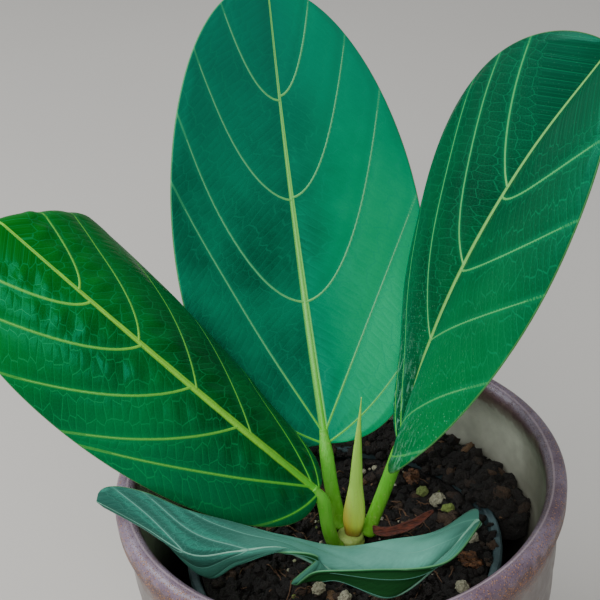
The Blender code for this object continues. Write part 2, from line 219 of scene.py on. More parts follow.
# %% Floor
def build_floor():
    """A plain pale floor, which takes no part in the model."""
    mesh = bpy.data.meshes.new("floor")
    far = 6.0
    mesh.from_pydata([(-far, -far, 0), (far, -far, 0), (far, far, 0), (-far, far, 0)], [],
                     [(0, 1, 2, 3)])
    floor = bpy.data.objects.new("floor", mesh)
    bpy.context.scene.collection.objects.link(floor)
    material = bpy.data.materials.new("floor_paint")
    material.use_nodes = True
    tree = material.node_tree
    shader = tree.nodes["Principled BSDF"]
    place = put(tree, "ShaderNodeTexCoord").outputs["Object"]
    cloud = put(tree, "ShaderNodeTexNoise", {"Vector": place, "Scale": 3.0, "Detail": 3.0})
    colour = layer(tree, cloud.outputs[0], tone(196, 190, 184), tone(206, 201, 196))
    tree.links.new(colour, shader.inputs["Base Color"])
    shader.inputs["Roughness"].default_value = 0.8
    mesh.materials.append(material)


build_floor()

# %% Lamps and sky
def lamp(name, place, aim, size, power, colour):
    """A round soft lamp turned towards a place."""
    light = bpy.data.lights.new(name, "AREA")
    light.shape = "DISK"
    light.size = size
    light.energy = power
    light.color = colour
    holder = bpy.data.objects.new(name, light)
    bpy.context.scene.collection.objects.link(holder)
    holder.location = place
    holder.rotation_euler = (Vector(aim) - Vector(place)).to_track_quat("-Z", "Y").to_euler()


lamp("window", (-0.75, 0.15, 1.0), (0, 0, 0.12), 0.9, 13, (0.95, 0.99, 1.0))
lamp("room", (-0.2, -1.0, 1.15), (0, 0, 0.1), 0.8, 11, (1.0, 0.98, 0.95))
sky = bpy.data.worlds.new("sky")
sky.use_nodes = True
sky.node_tree.nodes["Background"].inputs["Color"].default_value = (0.86, 0.92, 0.95, 1)
sky.node_tree.nodes["Background"].inputs["Strength"].default_value = 0.36
bpy.context.scene.world = sky

# %% Camera
EYE_AT = (0, -0.364, 0.4202)
EYE_TURN = (57.435, 4.098, -1.444)    # degrees about X, Y and Z
camera = bpy.data.cameras.new("camera")
camera.lens = 90
camera.sensor_width = 36
eye = bpy.data.objects.new("camera", camera)
bpy.context.scene.collection.objects.link(eye)
eye.location = EYE_AT
eye.rotation_euler = [math.radians(a) for a in EYE_TURN]
bpy.context.scene.camera = eye
print("camera", tuple(eye.location))

# %% [markdown]
# ## Shared effects
# Three effects come back in many finishes: a soft cloudy change of tone, fine specks scattered
# at random, and a leaf's net of small veins. Each is a node group with named inputs, so every
# material uses the same effect with its own sizes.

# %% Group maker
def group(name, inputs, outputs):
    """An empty shader group with its input and output nodes."""
    tree = bpy.data.node_groups.new(name, "ShaderNodeTree")
    for label, kind, value in inputs:
        socket = tree.interface.new_socket(label, in_out="INPUT", socket_type="NodeSocket" + kind)
        if value is not None:
            socket.default_value = value
    for label in outputs:
        tree.interface.new_socket(label, in_out="OUTPUT", socket_type="NodeSocketFloat")
    return tree, put(tree, "NodeGroupInput").outputs, put(tree, "NodeGroupOutput").inputs


def use(tree, shared, **feeds):
    """A shared group placed in a tree, its inputs given by name."""
    node = put(tree, "ShaderNodeGroup", node_tree=shared)
    feed_inputs(tree, node, feeds)
    return node.outputs


def split(tree, vector):
    """The three parts of a vector, as sockets."""
    return put(tree, "ShaderNodeSeparateXYZ", {0: vector}).outputs


# %% Mottle and specks
def build_mottle():
    """Soft clouds of a given size; the contrast says how gently they fade."""
    tree, feed, out = group("mottle", [("Place", "Vector", None), ("Size", "Float", 0.01),
                                       ("Contrast", "Float", 0.2)], ["Cloud"])
    scale = math_node(tree, "DIVIDE", 1.0, feed["Size"])
    cloud = put(tree, "ShaderNodeTexNoise", {"Vector": feed["Place"], "Scale": scale,
                                             "Detail": 5.0, "Roughness": 0.6}).outputs[0]
    low = math_node(tree, "SUBTRACT", 0.5, feed["Contrast"])
    high = math_node(tree, "ADD", 0.5, feed["Contrast"])
    tree.links.new(between(tree, cloud, low, high), out["Cloud"])
    return tree


def build_specks():
    """Small uneven dots, of which only a share is kept."""
    tree, feed, out = group("specks", [("Place", "Vector", None), ("Size", "Float", 0.001),
                                       ("Share", "Float", 0.3)], ["Specks"])
    scale = math_node(tree, "DIVIDE", 1.0, feed["Size"])
    wander = put(tree, "ShaderNodeTexNoise", {"Vector": feed["Place"], "Scale": scale,
                                              "Detail": 2.0}).outputs["Color"]
    nudge = put(tree, "ShaderNodeVectorMath", {0: wander, "Scale": feed["Size"]},
                operation="SCALE").outputs[0]
    moved = put(tree, "ShaderNodeVectorMath", {0: feed["Place"], 1: nudge},
                operation="ADD").outputs[0]
    cell = put(tree, "ShaderNodeTexVoronoi", {"Vector": moved, "Scale": scale,
                                              "Randomness": 1.0})
    dot = between(tree, cell.outputs["Distance"], 0.18, 0.42, 1.0, 0.0)
    chance = put(tree, "ShaderNodeSeparateColor", {0: cell.outputs["Color"]}).outputs[0]
    kept = math_node(tree, "LESS_THAN", chance, feed["Share"])
    tree.links.new(times(tree, dot, kept), out["Specks"])
    return tree


MOTTLE = build_mottle()
SPECKS = build_specks()

# %% [markdown]
# Between two side veins of a fig leaf run many thin rungs, square to the veins, which meet in a
# zigzag half way. Each place on a leaf knows how far it lies in the direction of the side veins
# and how far across the gap, so a cell pattern in those two measures slants the rungs rightly.

# %% Leaf net
def build_net():
    """Rungs between side veins, a finer net inside them, and how the skin swells."""
    tree, feed, out = group("leaf_net", [("Among", "Vector", None), ("Rung", "Float", 3.1),
                                         ("Line", "Float", 0.05)], ["Lines", "Fine", "Swell"])
    wander = put(tree, "ShaderNodeTexNoise", {"Vector": feed["Among"], "Scale": 0.5,
                                              "Detail": 2.0}).outputs["Color"]
    moved = put(tree, "ShaderNodeVectorMath", {0: wander, 1: (1.2, 0.1, 0), 2: feed["Among"]},
                operation="MULTIPLY_ADD").outputs[0]
    part = split(tree, moved)
    along = math_node(tree, "DIVIDE", part[0], feed["Rung"])
    across = times(tree, part[1], 2.0)
    rungs = put(tree, "ShaderNodeCombineXYZ", {0: along, 1: across}).outputs[0]
    cell = put(tree, "ShaderNodeTexVoronoi", {"Vector": rungs, "Scale": 1.0, "Randomness": 0.62},
               voronoi_dimensions="2D", feature="DISTANCE_TO_EDGE").outputs[0]
    tree.links.new(between(tree, cell, times(tree, feed["Line"], 0.35),
                           feed["Line"], 1.0, 0.0), out["Lines"])
    close = put(tree, "ShaderNodeVectorMath", {0: rungs, 1: (3.0, 5.0, 1.0)},
                operation="MULTIPLY").outputs[0]
    small = put(tree, "ShaderNodeTexVoronoi", {"Vector": close, "Scale": 1.0, "Randomness": 0.9},
                voronoi_dimensions="2D", feature="DISTANCE_TO_EDGE").outputs[0]
    tree.links.new(between(tree, small, 0.02, 0.13, 1.0, 0.0), out["Fine"])
    swell = between(tree, cell, 0.0, 0.35)
    grain = between(tree, small, 0.0, 0.3, 0.0, 0.12)
    tree.links.new(math_node(tree, "ADD", swell, grain), out["Swell"])
    return tree


NET = build_net()

# %% [markdown]
# ## Finishes
# Each finish starts from a Principled shader, which already gives the sheen of wax, glaze or
# plastic. Colour, roughness and relief come from the shared groups, read in the object's own
# space or from the measures stored on a piece, so nothing slides when the view changes.

# %% Starting a finish
def finish(name, **sockets):
    """A new material; names of inputs are given with _ for each space."""
    material = bpy.data.materials.new(name)
    material.use_nodes = True
    shader = material.node_tree.nodes["Principled BSDF"]
    for label, value in sockets.items():
        shader.inputs[label.replace("_", " ")].default_value = value
    return material, material.node_tree, shader


def coords(tree):
    return put(tree, "ShaderNodeTexCoord").outputs["Object"]


def stored(tree, label):
    return put(tree, "ShaderNodeAttribute", attribute_name=label)


def surface(tree, shader, colour, roughness, height, distance, strength=1.0):
    """Colour, roughness and fine relief handed to the shader."""
    tree.links.new(colour, shader.inputs["Base Color"])
    tree.links.new(roughness, shader.inputs["Roughness"])
    bump = put(tree, "ShaderNodeBump", {"Height": height, "Distance": distance,
                                        "Strength": strength})
    tree.links.new(bump.outputs[0], shader.inputs["Normal"])


# %% Leaf finish
LEAF_SHEEN = tone(60, 255, 215)[:3]
LEAF_TONES = {
    "leaf_left": dict(dark=(0, 58, 18), light=(0, 112, 44), vein=(146, 222, 62),
                      rib=(96, 186, 66), net=(28, 142, 78), far=(0, 106, 6), sheen_and_shade=(0, 112, 66)),
    "leaf_centre": dict(dark=(0, 78, 54), light=(0, 122, 88), vein=(130, 218, 100),
                        rib=(84, 180, 118), net=(20, 136, 100), far=(0, 124, 98),
                        sheen_and_shade=(0, 178, 112)),
    "leaf_right": dict(dark=(0, 58, 31), light=(0, 92, 48), vein=(132, 196, 98),
                       rib=(70, 172, 96), net=(20, 136, 88), far=(0, 66, 45),
                       sheen_and_shade=(0, 118, 58)),
    # The low front leaf's pale teal base tones are painted sheen, a glancing reflection on its waxy
    # top; its darker far tone, laid towards both of its ends, is its green without that sheen.
    "leaf_front": dict(dark=(84, 144, 128), light=(114, 176, 158), vein=(134, 188, 164),
                       rib=(90, 152, 134), net=(88, 150, 134), far=(20, 68, 58),
                       sheen_and_shade=(72, 138, 114)),
}

# where across the leaf the half with painted sheen begins and ends, from -1 to 1; on the low
# front leaf that half gets painted shade instead
SHEEN_AND_SHADE_SIDE = {"leaf_left": (-0.1, 0.9), "leaf_centre": (0.1, -0.7), "leaf_right": (0.3, -0.8),
            "leaf_front": (-0.2, 0.9)}

# how strongly the fine net shows as colour, and as relief
NET_LOOK = {"leaf_left": (0.55, 0.6), "leaf_centre": (0.4, 0.3), "leaf_right": (0.36, 0.4),
            "leaf_front": (0.24, 0.3)}


# the underside's skin, fine lines and ribs; the low front leaf gets a darker set, painted shade
# under the leaf
PALE_UNDER = (tone(92, 142, 86), tone(138, 178, 112), tone(160, 186, 110))
PAINTED_SHADE_UNDER = (tone(36, 88, 44), tone(58, 116, 68), tone(96, 150, 96))


def worn_look(tree, colour, place, along):
    """Dust and pale scratches, most of them near the leaf's base."""
    dust = use(tree, SPECKS, Place=place, Size=0.6 * MM, Share=0.16)["Specks"]
    settled = between(tree, along, 0.05, 0.5, 0.6, 0.04)
    colour = layer(tree, times(tree, dust, settled), colour, tone(150, 210, 180))
    slant = put(tree, "ShaderNodeMapping", {0: place, 2: (0.3, 0.9, 0.2), 3: (1.0, 1.0, 0.2)})
    marks = use(tree, MOTTLE, Place=slant.outputs[0], Size=1.4 * MM, Contrast=0.12)["Cloud"]
    worn = times(tree, between(tree, marks, 0.72, 0.98), between(tree, along, 0.04, 0.3, 0.38, 0.0))
    return layer(tree, worn, colour, tone(150, 214, 190))


def leaf_finish(name):
    """Waxy green above and paler below, with tones, fine net and ribs from stored measures, and
    painted sheen on one half (painted shade on the low front leaf).
    """
    tones = {key: tone(*value) for key, value in LEAF_TONES[name].items()}
    material, tree, shader = finish(name + "_skin", IOR=1.45, Specular_IOR_Level=0.3,
                                    Specular_Tint=(*LEAF_SHEEN, 1))
    place = coords(tree)
    among = stored(tree, "net").outputs["Vector"]
    rib = split(tree, stored(tree, "rib").outputs["Vector"])
    across = split(tree, among)[2]
    along = stored(tree, "along").outputs["Fac"]
    top = stored(tree, "top").outputs["Fac"]
    net = use(tree, NET, Among=among, Rung=2.4, Line=0.04)
    cloud = use(tree, MOTTLE, Place=place, Size=30 * MM, Contrast=0.22)["Cloud"]
    colour = layer(tree, cloud, tones["dark"], tones["light"])
    reach = (0.3, 0.75) if name == "leaf_front" else (0.35, 1.0)
    colour = layer(tree, between(tree, along, *reach, 0.0, 0.85), colour, tones["far"])
    # Painted sheen: one half of each blade turns to a lighter tone, as where the sky glances off the
    # wax; on the low front leaf the tone is darker and paints shade on its near half.
    sheen_and_shade_mask = times(tree, between(tree, across, *SHEEN_AND_SHADE_SIDE[name]),
                  between(tree, along, 0.2, 0.85, 0.75, 0.15))
    colour = layer(tree, sheen_and_shade_mask, colour, tones["sheen_and_shade"])
    colour = layer(tree, times(tree, net["Fine"], 0.14), colour, tones["net"])
    clear = between(tree, rib[1], 0.5, 1.2, 0.0, NET_LOOK[name][0])
    colour = layer(tree, times(tree, net["Lines"], clear), colour, tones["net"])
    if name != "leaf_centre":
        foot = between(tree, along, 0.02, 0.3, 0.4, 0.0)
        colour = layer(tree, foot, colour, tones["far" if name == "leaf_front" else "dark"])
    halo = between(tree, rib[1], 0.2, 2.0, 0.25, 0.0)
    colour = layer(tree, halo, colour, tones["net"])
    fade = between(tree, math_node(tree, "ABSOLUTE", across), 0.1, 0.9, 0.95, 0.45)
    side = times(tree, between(tree, rib[1], 0.2, 0.55, 1.0, 0.0), fade)
    colour = layer(tree, side, colour, tones["rib"])
    width = between(tree, along, 0.0, 1.0, 1.35, 0.35)
    middle = between(tree, math_node(tree, "DIVIDE", rib[0], width), 0.7, 1.25, 1.0, 0.0)
    colour = layer(tree, middle, colour, tones["vein"])
    edge = between(tree, rib[2], 0.12, 0.5, 0.4, 0.0)
    colour = layer(tree, edge, colour, tone(120, 172, 90))
    if name == "leaf_right":
        colour = worn_look(tree, colour, place, along)
    # the low front leaf's underside takes the darker set, which is painted shade
    skin_tone, line_tone, rib_tone = PAINTED_SHADE_UNDER if name == "leaf_front" else PALE_UNDER
    faint = times(tree, net["Lines"], times(tree, clear, 0.6))
    under = layer(tree, faint, skin_tone, line_tone)
    under = layer(tree, math_node(tree, "MAXIMUM", side, middle), under, rib_tone)
    colour = layer(tree, top, under, colour)
    wax = math_node(tree, "ADD", 0.28, times(tree, cloud, 0.12))
    rough = math_node(tree, "ADD", wax, between(tree, top, 0.3, 0.7, 0.28, 0.0))
    surface(tree, shader, colour, rough, net["Swell"], 0.12 * MM, NET_LOOK[name][1])
    return material


# %% Stem, bud and scale finishes
def green_finish(name, low, high, blush=None, low_end=0.0, high_end=0.6):
    """Fresh green skin that changes from foot to tip, with fine lengthwise streaks."""
    material, tree, shader = finish(name, IOR=1.45)
    place = coords(tree)
    along = stored(tree, "along").outputs["Fac"]
    streak_place = put(tree, "ShaderNodeMapping", {0: place, 3: (1, 1, 0.12)}).outputs[0]
    streak = use(tree, MOTTLE, Place=streak_place, Size=0.9 * MM, Contrast=0.25)["Cloud"]
    colour = layer(tree, between(tree, along, low_end, high_end), low, high)
    pale = layer(tree, 0.35, high, tone(196, 214, 130))
    colour = layer(tree, times(tree, streak, 0.45), colour, pale)
    if blush:
        red, edge = blush
        left = between(tree, split(tree, place)[0], edge - 3.6 * MM, edge - 0.6 * MM, 0.5, 0.0)
        foot = between(tree, along, 0.1, 0.7, 1.0, 0.1)
        colour = layer(tree, times(tree, left, foot), colour, red)
        base = between(tree, along, 0.0, 0.16, 0.8, 0.0)
        colour = layer(tree, base, colour, tone(120, 62, 26))
    dots = use(tree, SPECKS, Place=place, Size=1.1 * MM, Share=0.2)["Specks"]
    colour = layer(tree, times(tree, dots, 0.3), colour, tone(190, 205, 120))
    surface(tree, shader, colour, between(tree, streak, 0.0, 1.0, 0.34, 0.5), streak,
            0.18 * MM, 0.7)
    return material


def dry_finish(name, dark, pale, size=0.0007):
    """Papery or woody brown with fibres."""
    material, tree, shader = finish(name)
    place = coords(tree)
    fibres = put(tree, "ShaderNodeMapping", {0: place, 3: (0.22, 1.3, 1.0)}).outputs[0]
    grain = use(tree, MOTTLE, Place=fibres, Size=size, Contrast=0.2)["Cloud"]
    cloud = use(tree, MOTTLE, Place=place, Size=4 * MM, Contrast=0.2)["Cloud"]
    colour = layer(tree, grain, dark, pale)
    colour = layer(tree, times(tree, cloud, 0.4), colour, dark)
    surface(tree, shader, colour, between(tree, grain, 0.0, 1.0, 0.6, 0.9), grain, 0.3 * MM)
    return material


# %% [markdown]
# Grains of soil all come from one tree below, which stores a random shade on each grain. The
# finish reads it, so neighbours differ as real crumbs do.

# %% Grain finishes
def grain_finish(name, dark, pale, odd, share, roughness):
    """Crumbs from dark to pale, with a share of them in an odd colour."""
    material, tree, shader = finish(name)
    place = coords(tree)
    shade = stored(tree, "shade").outputs["Fac"]
    cloud = use(tree, MOTTLE, Place=place, Size=0.9 * MM, Contrast=0.25)["Cloud"]
    mixed = times(tree, math_node(tree, "ADD", shade, cloud), 0.5)
    colour = layer(tree, mixed, dark, pale)
    colour = layer(tree, between(tree, shade, 1 - share, 1 - share * 0.6), colour, odd)
    rough = between(tree, cloud, 0.0, 1.0, roughness - 0.2, roughness)
    surface(tree, shader, colour, rough, cloud, 0.7 * MM)
    return material


# %% [markdown]
# The cover pot's glaze breaks over its rim: a lavender grey on top, amber and gold specks on the
# shoulder, a rusty line where it thins at the inner lip, and a warm pale grey wall below. A thin
# pale line along the rim's inner crest is a painted highlight, and deep inside the pot the wall
# turns nearly black as painted shade. Height and distance from the axis say which zone a place
# is in, and noise keeps the borders uneven.

# %% Pot glaze
WALL_TAPER = 0.0874          # radius that the wall gains for each unit of height
OUTER_WALL = (56.1, 56.5)    # reaches in mm once the taper is taken off
UNDERSIDE = 5                # heights from here on down are in mm
DEEP_SHADE = (74, 100)
SHOULDER = (107.5, 117.5)
CROWN = (120.0, 123.2)
LIP_START = (116.5, 119)
HIGHLIGHT_START = (123.6, 124.2)
BARE_FOOT = (1.8, 3.2)
LIP_REACH = (63.4, 64.5)     # reaches from here on down are in mm
HIGHLIGHT_IN, HIGHLIGHT_OUT = (65.5, 65.9), (66.1, 66.5)
CREST_REACH = (66.8, 68.2)


def glaze_finish():
    """Zones of colour by height and reach: wall, shoulder, crown, lip and foot."""
    material, tree, shader = finish("reactive_glaze", IOR=1.5)
    place = coords(tree)
    axis = put(tree, "ShaderNodeVectorMath", {0: place, 1: (1, 1, 0)},
               operation="MULTIPLY").outputs[0]
    reach = put(tree, "ShaderNodeVectorMath", {0: axis}, operation="LENGTH").outputs["Value"]
    height = split(tree, place)[2]
    cloud = use(tree, MOTTLE, Place=place, Size=12 * MM, Contrast=0.22)["Cloud"]
    patch = use(tree, MOTTLE, Place=place, Size=4 * MM, Contrast=0.2)["Cloud"]
    tiny = use(tree, SPECKS, Place=place, Size=0.6 * MM, Share=0.7)["Specks"]
    flecks = use(tree, SPECKS, Place=place, Size=0.7 * MM, Share=0.75)["Specks"]
    iron = use(tree, SPECKS, Place=place, Size=3.2 * MM, Share=0.12)["Specks"]
    uneven = times(tree, math_node(tree, "SUBTRACT", patch, 0.5), 3 * MM)
    level = math_node(tree, "ADD", height, uneven)
    wall = layer(tree, cloud, tone(122, 113, 111), tone(146, 139, 136))
    wall = layer(tree, times(tree, iron, 0.5), wall, tone(120, 100, 88))
    broad = use(tree, MOTTLE, Place=place, Size=60 * MM, Contrast=0.14)["Cloud"]
    inside = layer(tree, broad, tone(146, 145, 131), tone(218, 219, 203))
    inside = layer(tree, times(tree, cloud, 0.3), inside, tone(96, 92, 82))
    inside = layer(tree, zone(tree, height, DEEP_SHADE, 0.9, 0.0), inside, tone(20, 19, 18))
    taper = times(tree, height, WALL_TAPER)
    is_out = zone(tree, math_node(tree, "SUBTRACT", reach, taper), OUTER_WALL)
    low_out = math_node(tree, "LESS_THAN", height, UNDERSIDE * MM)
    colour = layer(tree, math_node(tree, "MAXIMUM", is_out, low_out), inside, wall)
    band = zone(tree, level, SHOULDER)
    band_tone = layer(tree, patch, tone(88, 64, 68), tone(126, 98, 100))
    band_tone = layer(tree, flecks, band_tone, tone(206, 140, 62))
    band_tone = layer(tree, tiny, band_tone, tone(64, 44, 50))
    colour = layer(tree, times(tree, band, is_out), colour, band_tone)
    top = zone(tree, level, CROWN)
    crown = layer(tree, cloud, tone(104, 84, 98), tone(140, 124, 142))
    crown = layer(tree, times(tree, tiny, 0.7), crown, tone(66, 48, 62))
    crown = layer(tree, times(tree, flecks, 0.3), crown, tone(190, 150, 120))
    crest = times(tree, zone(tree, reach, CREST_REACH), flecks)
    crown = layer(tree, times(tree, crest, 0.6), crown, tone(196, 136, 84))
    colour = layer(tree, top, colour, crown)
    lip_in = zone(tree, reach, LIP_REACH, 0.75, 0.0)
    lip = times(tree, lip_in, zone(tree, level, LIP_START))
    colour = layer(tree, lip, colour, tone(92, 58, 50))
    # Painted highlight: a thin pale line along the inner crest of the rim.
    line = times(tree, zone(tree, reach, HIGHLIGHT_IN), zone(tree, reach, HIGHLIGHT_OUT, 1.0, 0.0))
    line = times(tree, line, zone(tree, height, HIGHLIGHT_START))
    colour = layer(tree, times(tree, line, 0.5), colour, tone(190, 170, 178))
    foot = zone(tree, height, BARE_FOOT, 1.0, 0.0)
    colour = layer(tree, foot, colour, tone(150, 116, 90))
    rough = math_node(tree, "ADD", between(tree, top, 0.0, 1.0, 0.42, 0.3),
                      times(tree, patch, 0.12))
    pits = math_node(tree, "ADD", times(tree, flecks, band), times(tree, cloud, 0.6))
    surface(tree, shader, colour, rough, pits, 0.25 * MM, 0.8)
    return material


def plastic_finish():
    """Thin moulded plastic with a faint texture and dust."""
    material, tree, shader = finish("nursery_plastic", IOR=1.48)
    place = coords(tree)
    grain = use(tree, MOTTLE, Place=place, Size=0.9 * MM, Contrast=0.3)["Cloud"]
    dust = use(tree, MOTTLE, Place=place, Size=8 * MM, Contrast=0.2)["Cloud"]
    colour = layer(tree, times(tree, dust, 0.5), tone(44, 62, 68), tone(104, 128, 132))
    surface(tree, shader, colour, between(tree, grain, 0.0, 1.0, 0.36, 0.56), grain, 0.1 * MM)
    return material


# %% [markdown]
# ## Leaf shapes
# A blade is a flat oval that has been bent, rolled and cupped along its midrib. These functions
# take a place on the flat leaf, u from base to tip and v from edge to edge, to its place in the
# air. The midrib points are in millimetres, the angles in degrees.

# %% The three upright blades
def bowed(base, tip, bow):
    """Five midrib points in mm: a straight line pushed aside by bow at half-way."""
    base, tip, bow = (np.array(p, float) for p in (base, tip, bow))
    return [tuple(base + (tip - base) * t + bow * 4 * t * (1 - t)) for t in (0, 0.25, 0.5, 0.75, 1)]


BLADES = {
    "leaf_left": dict(
        mid=bowed((-6.5, -7.5, 123), (-98, 15.5, 220.5), (2, -9, 4)),
        width=68, roll=(-21, -11), lift=(-9, 1.5), curl=-51, oval=(1.27, 0.35), lobe=5,
        fold=((126, 0), (112.5, -29), 4, 165)),
    "leaf_centre": dict(
        mid=bowed((-3.5, 18, 121.5), (-12, 121, 238), (-1, 0, 0.5)),
        width=86, roll=(2, 28), lift=(7, 7), curl=2, oval=(0.9, 0.47), lobe=3.5),
    "leaf_right": dict(
        mid=bowed((19.5, 4.5, 128.5), (77, -12, 265), (-7, 1, 4)),
        width=86, roll=(11, 36), lift=(20, 17), curl=-34, oval=(0.89, 0.6), lobe=2.9),
}


def oval(u, shape):
    """Half-width of the outline as a share of the widest, 0 at both ends."""
    p, q = shape
    s = u**p
    return np.clip(4 * s * (1 - s), 0, None)**q


def turn_over(x, y, fold):
    """The tip folded back: places past a line across the flat leaf roll over it."""
    (ax, ay), (bx, by), radius, most = fold
    a = np.array([ax, ay]) * MM
    along = np.array([bx - ax, by - ay])
    along = along / np.linalg.norm(along)
    away = np.array([-along[1], along[0]])
    away = -away if away[0] < 0 else away
    far = (x - a[0]) * away[0] + (y - a[1]) * away[1]
    turn = np.clip(far / (radius * MM), 0, math.radians(most))
    rest = np.clip(far - radius * MM * math.radians(most), 0, None)
    shift = np.where(far > 0, radius * MM * np.sin(turn) + rest * np.cos(turn) - far, 0)
    drop = radius * MM * (1 - np.cos(turn)) + rest * np.sin(turn)
    return x + shift * away[0], y + shift * away[1], np.where(far > 0, -drop, 0)


def blade(spec, u, v):
    """Points of an upright blade."""
    fine = np.linspace(0, 1, 161)
    line = through(spec["mid"], fine) * MM
    run = np.r_[0, np.cumsum(np.linalg.norm(np.diff(line, axis=0), axis=1))]
    length = run[-1]
    tangent = np.gradient(line, run, axis=0)
    tangent /= np.linalg.norm(tangent, axis=1)[:, None]
    side = np.cross([0, 0, 1.0], tangent)
    side /= np.linalg.norm(side, axis=1)[:, None]
    normal = np.cross(tangent, side)
    half = spec["width"] * MM / 2
    x = u * length
    y = half * oval(u, spec["oval"]) * v
    out = np.zeros_like(x)
    if "fold" in spec:
        x, y, out = turn_over(x, y, spec["fold"])
    at = np.clip(x / length, 0, 1)
    read = lambda table: np.stack([np.interp(at * length, run, table[:, k]) for k in range(3)], -1)
    t, s, n = read(tangent), read(side), read(normal)
    roll = np.radians(spec["roll"][0] + (spec["roll"][1] - spec["roll"][0]) * at)[..., None]
    s, n = s * np.cos(roll) + n * np.sin(roll), n * np.cos(roll) - s * np.sin(roll)
    lift = np.radians(np.where(y > 0, spec["lift"][0], spec["lift"][1]))
    bend = lift + math.radians(spec["curl"]) * np.abs(y) / half / 2
    wide = y * np.cos(bend)
    high = np.abs(y) * np.sin(bend)
    face = n * np.cos(bend)[..., None] - s * (np.sin(bend) * np.sign(y))[..., None]
    lobe = spec["lobe"] * MM * np.abs(v)**1.5 * (1 - u)**4 * 1.3 * oval(u, spec["oval"])
    past = np.clip(x - length, 0, None) - lobe
    return (read(line) + s * wide[..., None] + n * high[..., None]
            + t * past[..., None] + face * out[..., None])


# %% [markdown]
# The lowest leaf is crumpled and lies across the front of the pot. No simple bend gives that, so
# its midrib and both edges are placed point by point. Its near half is torn part of the way in.

# %% The crumpled low leaf
LOW_MIDRIB = [(41, -21, 119), (28, -34, 116), (12, -41, 108), (-2, -39, 117), (-17, -39, 129),
              (-31, -41, 131), (-44, -41, 131), (-58, -33, 136), (-71, -26, 141)]
LOW_NEAR = [(2, -7, 6), (2, -7, 6), (1, -3, 19), (0, -2, 10), (-1, -1, 0),
            (0, 1, -6), (3, 4, -13), (3, 7, -7), (3, 7, -7)]
LOW_FAR = [(3, 17, 1), (3, 17, 1), (4, 19, 9), (2, 12, 1), (0, 7, -1),
           (0, 9, 4), (0, 11, 10), (3, 8, 11), (3, 8, 11)]
LOW_ROLLED = [0, 5, 5, 3, 0, 0, 0, 0, 0]
LOW_OVAL = (0.92, 0.36)
LOW_TEAR = (0.385, 0.03, 0.8)     # where along the leaf, how wide, how deep
LOW_FLAP = (-13, 0, -4)           # shift of the torn corner in mm
LOW_HALF_WIDTH = 33.0


def low_blade(u, v):
    """Points of the crumpled low leaf."""
    mid = through(LOW_MIDRIB, u) * MM
    near = through(LOW_NEAR, u) * MM
    far = through(LOW_FAR, u) * MM
    rolled = through(np.array(LOW_ROLLED, float)[:, None], u) * MM
    share = oval(u, LOW_OVAL)
    at, wide, deep = LOW_TEAR
    torn = share * (1 - deep * np.exp(-((u - at) / wide)**2))
    w = np.abs(v)[..., None]
    front = mid + near * torn[..., None] * w
    back = mid + far * share[..., None] * w
    back = back + np.array([0, -0.5, 0.85]) * rolled * 4 * w * (1 - w) * share[..., None]
    out = np.where((v > 0)[..., None], front, back)
    soft = (near * torn[..., None] + far * share[..., None]) / 2
    out = out + soft * np.clip(1 - w / 0.25, 0, None)**2 * 0.125
    pull = np.abs(v)**1.3 * smooth((u - 0.12) / (at - 0.12)) * (1 - smooth((u - at) / 0.035))
    return out + np.array(LOW_FLAP) * MM * np.where(v > 0, pull, 0)[..., None]


# %% [markdown]
# ## Side veins
# Each half of a leaf has a steep vein at the very base and then side veins at even steps along
# the midrib. The first ones are nearly straight; towards the tip they leave the midrib squarer
# and bend more. So a half needs only the first start and the step, and the slope and bend of its
# first and last vein. The key 1 is one half of the leaf and -1 the other.

# %% Vein rules
def side_veins(first, step, count, slopes, bends, foot=2.0):
    """Start, slope and bend of each side vein on one half of a leaf."""
    rules = [(0.0, 0.5, 0.5), (0.02, foot, 0.0)]
    for k in range(count):
        share = k / (count - 1)
        slope = slopes[0] + (slopes[1] - slopes[0]) * share
        bend = bends[0] + (bends[1] - bends[0]) * share**2
        rules.append((first + step * k, slope, bend))
    return rules


VEINS = {
    "leaf_left": {1: side_veins(0.26, 0.14, 4, (0.8, 0.3), (0.4, 4)),
                  -1: side_veins(0.22, 0.165, 4, (1.0, 0.3), (0.1, 4), 1.3)},
    "leaf_centre": {1: side_veins(0.3, 0.22, 3, (0.1, 0.0), (1.7, 3.6)),
                    -1: side_veins(0.3, 0.225, 3, (0.1, 0.1), (2.3, 7), 1.8)},
    "leaf_right": {1: side_veins(0.29, 0.19, 3, (0.5, 0.6), (1.8, 1.8), 1.5),
                   -1: side_veins(0.29, 0.18, 3, (0.9, 0.2), (0.5, 3.4), 1.5)},
    "leaf_front": {half: side_veins(0.23, 0.18, 4, (0.6, 0.3), (1, 3), 1.4) for half in (1, -1)},
}


def flat_size(name):
    """Length and half-width in mm of the flat leaf, and the shape of its outline."""
    spec = BLADES.get(name)
    line = through(spec["mid"] if spec else LOW_MIDRIB, np.linspace(0, 1, 161))
    length = np.linalg.norm(np.diff(line, axis=0), axis=1).sum()
    half = spec["width"] / 2 if spec else LOW_HALF_WIDTH
    return length, half, spec["oval"] if spec else LOW_OVAL


END_GAP = 18.0      # mm taken for the gap past the first and last vein
MOST_LEAN = 1.4     # no gap between veins slants more than this


def vein_reach(rule, y, length, half):
    """How far along the leaf a side vein is at a distance y from the midrib."""
    start, slope, bend = rule
    return start * length + slope * y + bend * y * y / half


